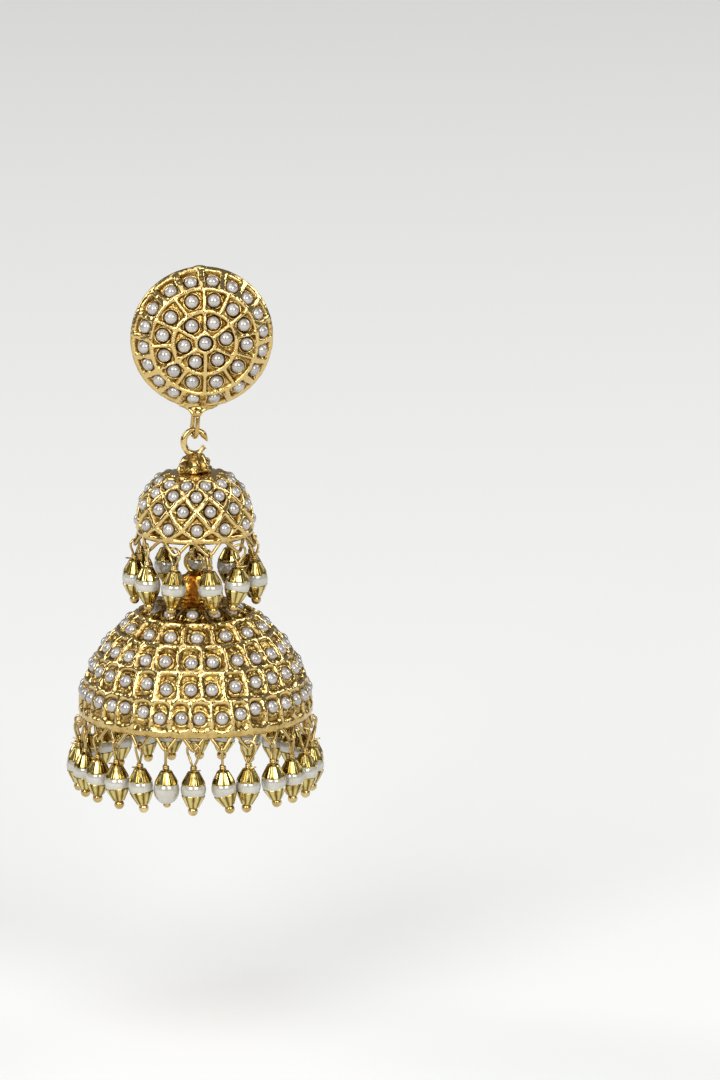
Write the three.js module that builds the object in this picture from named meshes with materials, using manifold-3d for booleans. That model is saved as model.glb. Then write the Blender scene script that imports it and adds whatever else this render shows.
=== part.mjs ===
// A jhumka earring: a pearl-set stud, a small bell and a large bell, both fringed with pearl drops.
// Millimetres, +Z up. The origin is the centre of the stud's flat back, and the stud faces -Y.
import * as THREE from 'three';
import { mergeVertices } from 'three/addons/utils/BufferGeometryUtils.js';
import Module from 'manifold-3d';

const { degToRad, lerp, clamp, euclideanModulo } = THREE.MathUtils;
const wasm = await Module();
wasm.setup();

// Finishes
const gold = { color: 0xd2a341, roughness: 0.25, metalness: 1 };
const dropFinish = { color: 0xd8cf9e, roughness: 0.3, metalness: 0.5 };

// Clearance between pieces that hang in each other, and how deep soldered pieces reach in
const linkGap = 0.3;
const solderDepth = 0.5;

// Seed half-pearls and the cast cells that hold them
const seedRadius = 0.95;
const seedRise = 0.75;
const cellPit = 0.45;
const castWall = 0.6;
const seedSides = 10;
const rimSides = 36;
const insideSides = 24;

// Wires: sides of their section, and steps in a bend and in a ring
const wireSides = 5;
const pinBends = 3;
const rimLoopBends = 2;
const ringSteps = 10;

// Stud
const studRadius = 11.45;
const studDome = 6.1;
const studRimEdge = 0.5;
const studBackInset = 0.2;
const studRoll = degToRad(5);
const postRadius = 0.45;
const postLength = 11;
const peakRadius = 0.75;

// Loop under the stud, with the solder seat and bead that join it to the dome
const loopWire = 0.38;
const loopReach = 3.55;
const loopTurn = degToRad(14);
const loopForward = 1.55;
const seatHeight = 2.6;
const seatTopRadius = 1.9;
const seatFootRadius = 0.85;
const beadRadius = 1.0;

// Open hook and leafy cap of the small bell
const hookWire = 0.45;
const hookRound = 1.75;
const hookGapStart = degToRad(-24);
const hookGapEnd = degToRad(10);
const capHeight = 3.3;
const capTopRadius = 1.25;
const capFootRadius = 2.65;
const capLeaves = 6;
const leafSwell = 0.06;

// Small bell
const smallRadius = 9.45;
const smallHeight = 10.1;
const smallSeeds = 12;
const smallTurn = degToRad(-109.5);

// Pin and ring inside the small bell, which carry the large bell
const innerWire = 0.4;
const innerRound = 1.5;
const innerReach = 13.3;
const innerTurn = degToRad(60);

// Ring and leafy neck cap of the large bell
const neckWire = 0.4;
const neckRound = 1.6;
const neckTurn = degToRad(-30);
const neckHeight = 4.5;
const neckTopRadius = 1.5;
const neckFootRadius = 2.6;
const neckLeaves = 8;

// Large bell
const largeRadius = 18.8;
const largeHeight = 18.65;

// Drops: a looped head pin, two fluted caps round a pearl, and an end ball
const pinWire = 0.22;
const dropSides = 10;
const pearlRadius = 1.98;
const pearlBand = 1.1;
const upperCapRadius = 0.95;
const upperCapHeight = 2.3;
const lowerCapRadius = 0.7;
const lowerCapHeight = 2.45;
const ballRadius = 0.8;
const ballSeat = 0.75;

// Fringes: rim loops and the drops that hang in them. Turn and lean are in degrees.
const upperFringe = {
  count: 11, turn: -116, wire: 0.28, round: 0.85, drop: 0.9, lean: 20, inset: 0.05, pinLeg: 2.55,
};
const lowerFringe = {
  count: 26, turn: -97.5, wire: 0.3, round: 0.95, drop: 1.0, lean: 15, inset: 0.3, pinLeg: 3.35,
};
const rimLoopSink = 1.0;

// Outlines from crown to rim, as shares of each dome's radius and height
const studOutline = [
  { radius: 0, depth: 0 },
  { radius: 0.14, depth: 0.017 },
  { radius: 0.445, depth: 0.125 },
  { radius: 0.76, depth: 0.357 },
  { radius: 0.908, depth: 0.679 },
  { radius: 0.987, depth: 0.928 },
  { radius: 1, depth: 1 },
];
const smallOutline = [
  { radius: 0, depth: 0 },
  { radius: 0.275, depth: 0.005 },
  { radius: 0.53, depth: 0.05 },
  { radius: 0.646, depth: 0.1 },
  { radius: 0.852, depth: 0.312 },
  { radius: 0.963, depth: 0.554 },
  { radius: 1, depth: 0.772 },
  { radius: 0.968, depth: 1 },
];
const largeOutline = [
  { radius: 0, depth: 0 },
  { radius: 0.122, depth: 0.004 },
  { radius: 0.372, depth: 0.044 },
  { radius: 0.553, depth: 0.145 },
  { radius: 0.766, depth: 0.359 },
  { radius: 0.904, depth: 0.579 },
  { radius: 0.987, depth: 0.804 },
  { radius: 1, depth: 0.933 },
  { radius: 0.99, depth: 1 },
];
const insideShares = [1, 0.82, 0.62, 0.42, 0.2];

// Rows of cells, as shares of the outline's length: top ridge, pearl, foot ridge. Turn is in degrees.
const studCrownShare = 0.115;
const studRows = [
  { seeds: 6, turn: 63, top: 0.14, seed: 0.26, foot: 0.365, footSteps: 2 },
  { seeds: 12, turn: 77, top: 0.395, seed: 0.519, foot: 0.64, footSteps: 1 },
  { seeds: 18, turn: 80.5, top: 0.675, seed: 0.778, foot: 0.9, footSteps: 1 },
];
const largeRows = [
  { seeds: 12, turn: -101, top: 0.17, seed: 0.238, foot: 0.317, footSteps: 1 },
  { seeds: 16, turn: -93.5, top: 0.345, seed: 0.418, foot: 0.465, footSteps: 1 },
  { seeds: 24, turn: -100, top: 0.483, seed: 0.575, foot: 0.622, footSteps: 1 },
  { seeds: 28, turn: -100, top: 0.64, seed: 0.72, foot: 0.783, footSteps: 1 },
  { seeds: 36, turn: -94, top: 0.802, seed: 0.874, foot: 0.934, footSteps: 1 },
];
// Levels of the small bell's lattice: each seed sits on one and its cell reaches to the next two
const smallLevels = [0.247, 0.382, 0.509, 0.67, 0.858, 0.95];

// Where each piece hangs, from the one above it
const hingeReach = studRadius + loopReach;
const hangX = -Math.sin(studRoll) * hingeReach;
const hangY = -loopForward;
const hookHingeZ = -Math.cos(studRoll) * hingeReach;
const smallTopZ = hookHingeZ - 2 * hookRound - capHeight;
const innerHingeZ = smallTopZ - innerReach;
const largeTopZ = innerHingeZ - 2 * neckRound - neckHeight;

// A closed mesh as a solid
function solidOf(coordinates, triangles) {
  const mesh = new wasm.Mesh({
    numProp: 3,
    vertProperties: Float32Array.from(coordinates),
    triVerts: Uint32Array.from(triangles),
  });
  return new wasm.Manifold(mesh);
}

// A closed geometry as a solid whose faces point out
function toSolid(geometry) {
  const bare = geometry.clone();
  bare.deleteAttribute('normal');
  bare.deleteAttribute('uv');
  const { attributes, index } = mergeVertices(bare);
  const corner = (i) => new THREE.Vector3().fromBufferAttribute(attributes.position, index.getX(i));
  const triangles = [];
  let volume = 0;
  for (let i = 0; i < index.count; i += 3) {
    const [a, b, c] = [index.getX(i), index.getX(i + 1), index.getX(i + 2)];
    if (a !== b && b !== c && c !== a) {
      triangles.push([a, b, c]);
      volume += corner(i).dot(corner(i + 1).cross(corner(i + 2)));
    }
  }
  const outward = volume > 0 ? triangles : triangles.map(([a, b, c]) => [c, b, a]);
  return solidOf(attributes.position.array, outward.flat());
}

function join(solids) {
  return solids.reduce((whole, solid) => whole.add(solid));
}

function toMesh(name, solid, finish) {
  const { vertProperties, triVerts } = solid.getMesh();
  const geometry = new THREE.BufferGeometry();
  geometry.setAttribute('position', new THREE.BufferAttribute(vertProperties, 3));
  geometry.setIndex(new THREE.BufferAttribute(triVerts, 1));
  geometry.computeVertexNormals();
  const mesh = new THREE.Mesh(geometry, new THREE.MeshStandardMaterial(finish));
  mesh.name = name;
  return mesh;
}

// An outline of radius and height, turned about +Z
function turned(outline, sides) {
  return toSolid(new THREE.LatheGeometry(outline, sides).rotateX(Math.PI / 2));
}

// A dome about +Z, built ring by ring, with seeds set in cells between raised ridges
class Dome {
  constructor(outline, radius, height) {
    const points = outline.map((p) => new THREE.Vector2(p.radius * radius, -p.depth * height));
    this.outline = new THREE.SplineCurve(points);
    this.height = height;
    this.points = [];
    this.faces = [];
  }

  // The surface frame at a share of the outline and a turn about the axis
  frame(share, turn) {
    const at = this.outline.getPointAt(share);
    const along = this.outline.getTangentAt(share);
    const spread = (radial, height) =>
      new THREE.Vector3(radial * Math.cos(turn), radial * Math.sin(turn), height);
    return {
      at: spread(at.x, at.y),
      out: spread(-along.y, along.x),
      north: spread(-along.x, -along.y),
      east: new THREE.Vector3(-Math.sin(turn), Math.cos(turn), 0),
    };
  }

  // A point, kept with its turn about the axis or about a seed
  add(point, turn) {
    this.points.push(point);
    return { id: this.points.length - 1, turn };
  }

  // A ring of corners on the outline
  ring(share, count, start) {
    return Array.from({ length: count }, (_, i) => {
      const turn = start + (2 * Math.PI * i) / count;
      return this.add(this.frame(share, turn).at, turn);
    });
  }

  // A ring of corners at a given radius and height
  flatRing(radius, height, count, start) {
    return Array.from({ length: count }, (_, i) => {
      const turn = start + (2 * Math.PI * i) / count;
      return this.add(new THREE.Vector3(radius * Math.cos(turn), radius * Math.sin(turn), height), turn);
    });
  }

  // Fills the band between two loops, the inner one lying inside the outer as seen from outside
  seam(outer, inner) {
    const inOrder = (loop) =>
      loop
        .map(({ id, turn }) => ({ id, turn: euclideanModulo(turn, 2 * Math.PI) }))
        .sort((a, b) => a.turn - b.turn);
    const turnOf = (loop, i) => loop[i % loop.length].turn + 2 * Math.PI * Math.floor(i / loop.length);
    const a = inOrder(outer);
    const b = inOrder(inner);
    let i = 0;
    let j = 0;
    while (i < a.length || j < b.length) {
      const stepsOuter = i < a.length && (j >= b.length || turnOf(a, i + 1) <= turnOf(b, j + 1));
      if (stepsOuter) {
        this.faces.push(a[i].id, a[(i + 1) % a.length].id, b[j % b.length].id);
        i += 1;
      } else {
        this.faces.push(b[j].id, a[i % a.length].id, b[(j + 1) % b.length].id);
        j += 1;
      }
    }
  }

  // Closes a loop to one point, seen from above or from below
  fan(loop, point, fromAbove) {
    const { id } = this.add(point, 0);
    loop.forEach((corner, i) => {
      const next = loop[(i + 1) % loop.length];
      this.faces.push(...(fromAbove ? [corner.id, next.id, id] : [next.id, corner.id, id]));
    });
  }

  // A half-pearl in the pit between its cell's corners
  seed(corners, share, turn) {
    const { at, out, north, east } = this.frame(share, turn);
    const around = corners.map(({ id }) => {
      const offset = this.points[id].clone().sub(at);
      return { id, turn: Math.atan2(offset.dot(north), offset.dot(east)) };
    });
    const foot = Array.from({ length: seedSides }, (_, k) => {
      const angle = (2 * Math.PI * k) / seedSides;
      const point = at.clone().addScaledVector(out, -cellPit);
      point.addScaledVector(east, seedRadius * Math.cos(angle));
      point.addScaledVector(north, seedRadius * Math.sin(angle));
      return this.add(point, angle);
    });
    this.seam(around, foot);
    this.fan(foot, at.clone().addScaledVector(out, seedRise - cellPit), true);
  }

  // One row of cells between its top and foot ridges; gives back both ridges
  row({ seeds, turn, top, seed, foot, footSteps }) {
    const first = degToRad(turn);
    const step = (2 * Math.PI) / seeds;
    const topRing = this.ring(top, seeds, first - step / 2);
    const footRing = this.ring(foot, seeds * footSteps, first - step / 2);
    for (let i = 0; i < seeds; i += 1) {
      const corners = [topRing[i], topRing[(i + 1) % seeds]];
      for (let k = 0; k <= footSteps; k += 1) {
        corners.push(footRing[(i * footSteps + k) % footRing.length]);
      }
      this.seed(corners, seed, first + i * step);
    }
    return { topRing, footRing };
  }

  // All rows, joined by the ridge bands between them; gives back the first and last ridge
  rows(table, crown) {
    let last = crown;
    let first = crown;
    for (const entry of table) {
      const { topRing, footRing } = this.row(entry);
      if (last) {
        this.seam(topRing, last);
      }
      first = first ?? topRing;
      last = footRing;
    }
    return { first, last };
  }

  // Closes the dome with a flat face across its rim
  closed(rim, height) {
    this.fan(rim, new THREE.Vector3(0, 0, height), false);
    return solidOf(this.points.flatMap((point) => point.toArray()), this.faces);
  }

  // A bell: closed at its rim, then hollowed to leave the cast wall behind the cell floors
  bell(lastRidge) {
    const rim = this.ring(1, rimSides, lastRidge[0].turn);
    this.seam(rim, lastRidge);
    return this.closed(rim, -this.height).subtract(this.hollow());
  }

  hollow() {
    const wall = cellPit + castWall;
    const side = insideShares.map((share) => {
      const at = this.outline.getPointAt(share);
      const along = this.outline.getTangentAt(share);
      return new THREE.Vector2(at.x + along.y * wall, at.y - along.x * wall);
    });
    const mouth = new THREE.Vector2(side[0].x, -this.height - wall);
    const outline = [new THREE.Vector2(0, mouth.y), mouth, ...side, new THREE.Vector2(0, -wall)];
    return turned(outline, insideSides);
  }
}

// A U of wire in the XZ plane: the bend is round the origin and both legs rise
class ArchCurve extends THREE.Curve {
  constructor(round, leg, bends) {
    super();
    this.round = round;
    this.leg = leg;
    this.bends = bends;
  }

  getPoint(t) {
    const step = t * (this.bends + 2);
    const angle = (Math.PI * clamp(step - 1, 0, this.bends)) / this.bends;
    const rise = Math.max(1 - step, step - 1 - this.bends, 0) * this.leg;
    return new THREE.Vector3(-this.round * Math.cos(angle), 0, rise - this.round * Math.sin(angle));
  }

  getUtoTmapping(u) {
    return u;
  }
}

// The hook: a ring in the XZ plane from one end of its gap round to the other
class HookCurve extends THREE.Curve {
  getPoint(t) {
    const angle = lerp(hookGapEnd, hookGapStart + 2 * Math.PI, t);
    return new THREE.Vector3(hookRound * Math.cos(angle), 0, hookRound * Math.sin(angle));
  }
}

function tube(curve, wire, steps) {
  const corners = Array.from({ length: wireSides }, (_, k) => {
    const angle = (2 * Math.PI * k) / wireSides;
    return new THREE.Vector2(wire * Math.cos(angle), wire * Math.sin(angle));
  });
  const section = new THREE.Shape(corners);
  return new THREE.ExtrudeGeometry(section, { steps, extrudePath: curve, bevelEnabled: false });
}

function arch(round, leg, wire, bends) {
  return tube(new ArchCurve(round, leg, bends), wire, bends + 2);
}

// A closed ring of wire, standing upright and turned about +Z
function standingRing(round, wire, turn, height) {
  const ring = new THREE.TorusGeometry(round, wire, wireSides, ringSteps);
  return toSolid(ring.rotateX(Math.PI / 2).rotateZ(turn).translate(0, 0, height));
}

// A small flared cap with leaves round it, from its top to its sunk foot
function leafyCap(topRadius, footRadius, height, leaves, topZ) {
  const outline = [
    new THREE.Vector2(0, -height - solderDepth),
    new THREE.Vector2(footRadius * 0.9, -height - solderDepth),
    new THREE.Vector2(footRadius, -height),
    new THREE.Vector2(lerp(topRadius, footRadius, 0.68), -height * 0.62),
    new THREE.Vector2(lerp(topRadius, footRadius, 0.45), -height * 0.25),
    new THREE.Vector2(topRadius, 0),
    new THREE.Vector2(0, 0),
  ];
  const cap = new THREE.LatheGeometry(outline, 2 * leaves);
  const { position } = cap.attributes;
  for (let i = 0; i < position.count; i += 1) {
    const column = Math.floor(i / outline.length);
    const swell = column % 2 === 0 ? 1 + leafSwell : 1 - leafSwell;
    position.setX(i, position.getX(i) * swell);
    position.setZ(i, position.getZ(i) * swell);
  }
  return toSolid(cap.rotateX(Math.PI / 2).translate(0, 0, topZ));
}

function fringeTurns({ count, turn }) {
  return Array.from({ length: count }, (_, i) => degToRad(turn + (360 * i) / count));
}

// The loops under a rim, which lean outwards
function rimLoops(fringe, rimRadius, rimZ) {
  return fringeTurns(fringe).map((turn) => {
    const loop = arch(fringe.round, fringe.drop + rimLoopSink, fringe.wire, rimLoopBends);
    loop.translate(0, 0, -fringe.drop).rotateX(-degToRad(fringe.lean));
    return toSolid(loop.translate(0, fringe.inset - rimRadius, rimZ).rotateZ(turn + Math.PI / 2));
  });
}

// One drop, about the wire of the rim loop that its looped pin goes round
function drop(fringe) {
  const round = fringe.wire + linkGap + pinWire;
  const pin = arch(round, fringe.pinLeg + solderDepth, pinWire, pinBends);
  pin.rotateX(Math.PI).rotateZ(Math.PI / 2);
  const capTop = -fringe.pinLeg;
  const bandTop = capTop - upperCapHeight;
  const bandFoot = bandTop - pearlBand;
  const tip = bandFoot - lowerCapHeight;
  const ball = tip - ballRadius * ballSeat;
  const outline = [
    new THREE.Vector2(0, ball - ballRadius),
    new THREE.Vector2(ballRadius, ball),
    new THREE.Vector2(lowerCapRadius, tip),
    new THREE.Vector2(pearlRadius, bandFoot),
    new THREE.Vector2(pearlRadius, bandTop),
    new THREE.Vector2(upperCapRadius, capTop),
    new THREE.Vector2(0, capTop),
  ];
  return join([turned(outline, dropSides), toSolid(pin)]);
}

// A drop in each rim loop, as a mesh of its own
function hangDrops(prefix, fringe, rimRadius, rimZ) {
  const solid = drop(fringe);
  const reach = fringe.drop + fringe.round;
  const radius = rimRadius - fringe.inset + reach * Math.sin(degToRad(fringe.lean));
  const height = rimZ - reach * Math.cos(degToRad(fringe.lean));
  return fringeTurns(fringe).map((turn, i) => {
    const mesh = toMesh(`${prefix}_${String(i + 1).padStart(2, '0')}`, solid, dropFinish);
    mesh.position.set(radius * Math.cos(turn), radius * Math.sin(turn), height);
    mesh.rotation.z = turn + Math.PI / 2;
    return mesh;
  });
}

function studField() {
  const dome = new Dome(studOutline, studRadius, studDome - studRimEdge);
  const [{ seeds, turn }] = studRows;
  const crown = dome.ring(studCrownShare, seeds, degToRad(turn) - Math.PI / seeds);
  dome.seed(crown, 0, 0);
  const { last } = dome.rows(studRows, crown);
  const edge = dome.ring(1, rimSides, last[0].turn);
  dome.seam(edge, last);
  const back = dome.flatRing(studRadius - studBackInset, -studDome, rimSides, last[0].turn);
  dome.seam(back, edge);
  return dome.closed(back, -studDome).translate([0, 0, studDome]).rotate([90, 0, 0]);
}

// The loop under the stud with its solder seat and bead
function studLoop() {
  const round = loopWire + linkGap + hookWire;
  const seatFoot = -studRadius - beadRadius;
  const leg = loopReach + seatHeight - beadRadius;
  const loop = arch(round, leg, loopWire, pinBends).rotateZ(Math.PI / 2 + loopTurn);
  loop.translate(0, 0, -hingeReach);
  const seat = new THREE.CylinderGeometry(seatTopRadius, seatFootRadius, seatHeight, 10);
  seat.rotateX(Math.PI / 2).translate(0, 0, seatFoot + seatHeight / 2);
  const bead = new THREE.SphereGeometry(beadRadius, 8, 6).translate(0, 0, seatFoot);
  return [loop, seat, bead].map((piece) => toSolid(piece.translate(0, -loopForward, 0).rotateY(studRoll)));
}

function stud() {
  const post = new THREE.CylinderGeometry(postRadius, postRadius, postLength + solderDepth, 12);
  post.translate(0, (postLength - solderDepth) / 2, 0);
  const peak = new THREE.SphereGeometry(peakRadius, 6, 4).translate(0, -peakRadius, studRadius - peakRadius / 2);
  return toMesh('stud', join([studField(), toSolid(post), toSolid(peak), ...studLoop()]), gold);
}

// The small bell's lattice: every other level is turned half a step, and ridges cross between seeds
function smallShell() {
  const dome = new Dome(smallOutline, smallRadius, smallHeight);
  const step = (2 * Math.PI) / smallSeeds;
  const nodes = smallLevels.map((share, j) => dome.ring(share, smallSeeds, smallTurn + ((j % 2) * step) / 2));
  const node = (j, i) => nodes[j][euclideanModulo(i, smallSeeds)];
  const bottom = nodes.length - 1;
  for (let i = 0; i < smallSeeds; i += 1) {
    for (let j = 1; j < bottom; j += 1) {
      const left = node(j, j % 2 === 0 ? i : i - 1);
      const right = node(j, j % 2 === 0 ? i + 1 : i);
      const above = node(j - 1, i);
      dome.seed([above, left, node(j + 1, i), right], smallLevels[j], above.turn);
    }
    dome.faces.push(node(0, i).id, node(1, i).id, node(0, i + 1).id);
    dome.faces.push(node(bottom, i - 1).id, node(bottom, i).id, node(bottom - 1, i).id);
  }
  dome.fan(nodes[0], new THREE.Vector3(0, 0, 0), true);
  return dome.bell(nodes[bottom]).translate([0, 0, smallTopZ]);
}

function upperBell() {
  const hookCentre = hookHingeZ - hookRound;
  const hook = tube(new HookCurve(), hookWire, ringSteps).translate(0, 0, hookCentre);
  const cap = leafyCap(capTopRadius, capFootRadius, capHeight, capLeaves, hookCentre - hookRound);
  const ringZ = innerHingeZ - innerWire - linkGap - neckWire + innerRound;
  const pinTop = smallTopZ - solderDepth;
  const pinLength = pinTop - ringZ - innerRound;
  const pin = new THREE.CylinderGeometry(innerWire, innerWire, pinLength, wireSides).rotateX(Math.PI / 2);
  const solids = [
    smallShell(),
    cap,
    toSolid(hook),
    toSolid(pin.translate(0, 0, pinTop - pinLength / 2)),
    standingRing(innerRound, innerWire, innerTurn, ringZ),
    ...rimLoops(upperFringe, smallRimRadius, smallTopZ - smallHeight),
  ];
  return toMesh('upper_bell', join(solids), gold);
}

function largeShell() {
  const dome = new Dome(largeOutline, largeRadius, largeHeight);
  const { first, last } = dome.rows(largeRows, null);
  dome.fan(first, new THREE.Vector3(0, 0, 0), true);
  return dome.bell(last).translate([0, 0, largeTopZ]);
}

function lowerBell() {
  const neckTop = innerHingeZ - 2 * neckRound;
  const solids = [
    largeShell(),
    leafyCap(neckTopRadius, neckFootRadius, neckHeight, neckLeaves, neckTop),
    standingRing(neckRound, neckWire, neckTurn, innerHingeZ - neckRound),
    ...rimLoops(lowerFringe, largeRimRadius, largeTopZ - largeHeight),
  ];
  return toMesh('lower_bell', join(solids), gold);
}

const smallRimRadius = smallRadius * smallOutline.at(-1).radius;
const largeRimRadius = largeRadius * largeOutline.at(-1).radius;

const hanging = new THREE.Group();
hanging.position.set(hangX, hangY, 0);
hanging.add(upperBell(), lowerBell());
hanging.add(...hangDrops('upper_drop', upperFringe, smallRimRadius, smallTopZ - smallHeight));
hanging.add(...hangDrops('lower_drop', lowerFringe, largeRimRadius, largeTopZ - largeHeight));

const group = new THREE.Group();
group.add(stud(), hanging);

export default group;
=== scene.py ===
"""Looks of a jhumka earring: a pearl-set stud, a small bell and a large bell with pearl drops.

Sizes are millimetres in the stud's own frame, and become metres where a mesh is made. The stud
faces -Y, and angles round a bell are degrees counterclockwise about +Z from +X.
"""

from __future__ import annotations

import logging
import math
from dataclasses import dataclass, field
from enum import Enum
from typing import Any, Callable, Iterable, Sequence

import bpy
import numpy as np
from mathutils import Euler, Matrix, Vector, noise

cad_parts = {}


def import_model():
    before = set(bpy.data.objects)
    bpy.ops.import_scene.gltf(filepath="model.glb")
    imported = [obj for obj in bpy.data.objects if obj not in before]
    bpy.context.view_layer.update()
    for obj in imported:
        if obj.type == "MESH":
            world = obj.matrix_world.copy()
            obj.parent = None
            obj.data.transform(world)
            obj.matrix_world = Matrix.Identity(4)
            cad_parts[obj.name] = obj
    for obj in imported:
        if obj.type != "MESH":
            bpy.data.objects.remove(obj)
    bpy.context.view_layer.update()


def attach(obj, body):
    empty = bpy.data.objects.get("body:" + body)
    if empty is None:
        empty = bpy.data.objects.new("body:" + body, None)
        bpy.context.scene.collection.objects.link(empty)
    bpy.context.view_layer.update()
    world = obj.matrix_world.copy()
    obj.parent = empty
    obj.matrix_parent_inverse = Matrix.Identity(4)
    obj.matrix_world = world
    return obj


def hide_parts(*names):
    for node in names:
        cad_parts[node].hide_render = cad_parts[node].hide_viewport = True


log = logging.getLogger("earring")

MM = 0.001
TAU = 2 * math.pi

# Where the earring's parts hang, from the part's source
HANG_X = -1.307
HANG_Y = -1.55
HOOK_HINGE_Z = -14.943
SMALL_TOP_Z = -21.743
INNER_HINGE_Z = -35.043
LARGE_TOP_Z = -42.743
STUD_ROLL = math.radians(5)

Colour = tuple[float, float, float, float]
Face = tuple[int, ...]
Profile = Sequence[tuple[float, float]]


class Body(Enum):
    """The CAD bodies that pieces ride on."""

    STUD = "stud_body"
    UPPER = "upper_body"
    LOWER = "lower_body"


class Slot(Enum):
    """The record's material slots."""

    PLATE = "gold_plate"
    WIRE = "gold_wire"
    CAPS = "bead_caps"
    SEEDS = "seed_pearls"
    DROPS = "drop_pearls"


class NodeBuilder:
    """Adds nodes to one node tree and wires them up."""

    def __init__(self, tree: bpy.types.NodeTree) -> None:
        """Starts on a tree.

        Args:
            tree: The node tree to add to.
        """
        self.tree = tree

    def feed(self, node: bpy.types.Node, wires: dict[int | str, Any]) -> None:
        """Fills a node's inputs.

        Args:
            node: The node.
            wires: Values or output sockets for its inputs, by index or name.
        """
        for key, value in wires.items():
            if isinstance(value, bpy.types.NodeSocket):
                self.tree.links.new(value, node.inputs[key])
            else:
                node.inputs[key].default_value = value

    def node(
        self, kind: str, wires: dict[int | str, Any] | None = None, **settings: Any
    ) -> bpy.types.Node:
        """Adds one node.

        Args:
            kind: The node's type name.
            wires: Values or output sockets for its inputs, by index or name.
            **settings: The node's own properties.

        Returns:
            The new node.
        """
        made = self.tree.nodes.new(kind)
        for name, value in settings.items():
            setattr(made, name, value)
        self.feed(made, wires or {})
        return made

    def math(self, operation: str, *values: Any) -> bpy.types.NodeSocket:
        """One sum.

        Args:
            operation: The Math node's operation.
            *values: Its numbers or sockets.

        Returns:
            The socket of the answer.
        """
        return self.node("ShaderNodeMath", dict(enumerate(values)), operation=operation).outputs[0]

    def times(self, first: Any, second: Any) -> bpy.types.NodeSocket:
        """One product of two numbers or sockets."""
        return self.math("MULTIPLY", first, second)

    def less(self, first: Any, second: Any) -> bpy.types.NodeSocket:
        """One difference of two numbers or sockets."""
        return self.math("SUBTRACT", first, second)

    def ease(
        self, value: Any, low: float, high: float, first: Any = 0.0, last: Any = 1.0
    ) -> bpy.types.NodeSocket:
        """A smooth step from one number to another.

        Args:
            value: What is read.
            low: Where the step starts.
            high: Where it ends.
            first: The answer below the step.
            last: The answer above it.

        Returns:
            The socket of the answer.
        """
        wires = {0: value, 1: low, 2: high, 3: first, 4: last}
        return self.node("ShaderNodeMapRange", wires, interpolation_type="SMOOTHSTEP").outputs[0]

    def blend(self, share: Any, first: Any, last: Any) -> bpy.types.NodeSocket:
        """A mix of two colours.

        Args:
            share: The share of the last colour.
            first: The first colour.
            last: The last colour.

        Returns:
            The socket of the colour.
        """
        return self.node(
            "ShaderNodeMix", {0: share, 6: first, 7: last}, data_type="RGBA"
        ).outputs[2]


class TreeWithInputs(NodeBuilder):
    """A node tree with named inputs and outputs."""

    def __init__(self, name: str, kind: str) -> None:
        """Starts an empty tree.

        Args:
            name: The tree's name.
            kind: Its type, for geometry or for shaders.
        """
        super().__init__(bpy.data.node_groups.new(name, kind))
        self.source = self.tree.nodes.new("NodeGroupInput")
        self.result = self.tree.nodes.new("NodeGroupOutput")
        self.identifiers: dict[str, str] = {}

    def take(self, label: str, kind: str, default: Any = None) -> bpy.types.NodeSocket:
        """Adds a named input.

        Args:
            label: The input's name.
            kind: The kind of socket, such as Float or Color.
            default: Its value until it is set.

        Returns:
            The socket inside the tree.
        """
        socket = self.tree.interface.new_socket(
            label, in_out="INPUT", socket_type=f"NodeSocket{kind}"
        )
        if default is not None:
            socket.default_value = default
        self.identifiers[label] = socket.identifier
        return self.source.outputs[label]

    def give(self, label: str, kind: str, value: bpy.types.NodeSocket) -> None:
        """Adds a named output.

        Args:
            label: The output's name.
            kind: The kind of socket.
            value: What it gives out.
        """
        self.tree.interface.new_socket(label, in_out="OUTPUT", socket_type=f"NodeSocket{kind}")
        self.tree.links.new(value, self.result.inputs[label])


# Finishes


def gold_wear_and_shade_group() -> bpy.types.NodeTree:
    """The tones of gold plate: deep in recesses, partly patina and partly painted shade; bright on
    edges, partly polish and partly painted highlight; blotched and grained.

    Returns:
        The shader group, with outputs Colour, Roughness and Height.
    """
    made = TreeWithInputs("Gold wear and painted shade", "ShaderNodeTree")
    deep = made.take("Deep", "Color")
    face = made.take("Face", "Color")
    bright = made.take("Bright", "Color")
    relief = made.take("Relief", "Float", 0.7)
    patina = made.take("Patina", "Float", 0.5)
    grain = made.take("Grain scale", "Float", 1500.0)
    smoothest = made.take("Smoothest", "Float", 0.12)
    roughest = made.take("Roughest", "Float", 0.3)
    place = made.node("ShaderNodeTexCoord").outputs["Object"]
    wide = {"Vector": place, "Scale": made.times(grain, 0.2), "Detail": 3.0}
    broad = made.node("ShaderNodeTexNoise", wide).outputs["Fac"]
    close = {"Vector": place, "Scale": grain, "Detail": 2.0, "Distortion": 0.6}
    fine = made.node("ShaderNodeTexNoise", close).outputs["Fac"]
    sway = made.times(made.less(broad, 0.5), patina)
    speck = made.times(made.less(fine, 0.5), made.times(patina, 0.6))
    tone = made.math("ADD", made.math("ADD", relief, sway), speck)
    # Low tones take the deep colour and high tones the bright one: painted shade in the hollows and
    # painted highlight on the ridges, over the real patina and polish.
    wear_and_shade = made.blend(made.ease(tone, 0.05, 0.6), deep, face)
    made.give("Colour", "Color", made.blend(made.ease(tone, 0.6, 0.95), wear_and_shade, bright))
    dull = made.times(made.ease(tone, 0.2, 0.9, 1.0, 0.0), made.less(roughest, smoothest))
    made.give("Roughness", "Float", made.math("ADD", dull, smoothest))
    made.give("Height", "Float", fine)
    return made.tree


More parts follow.
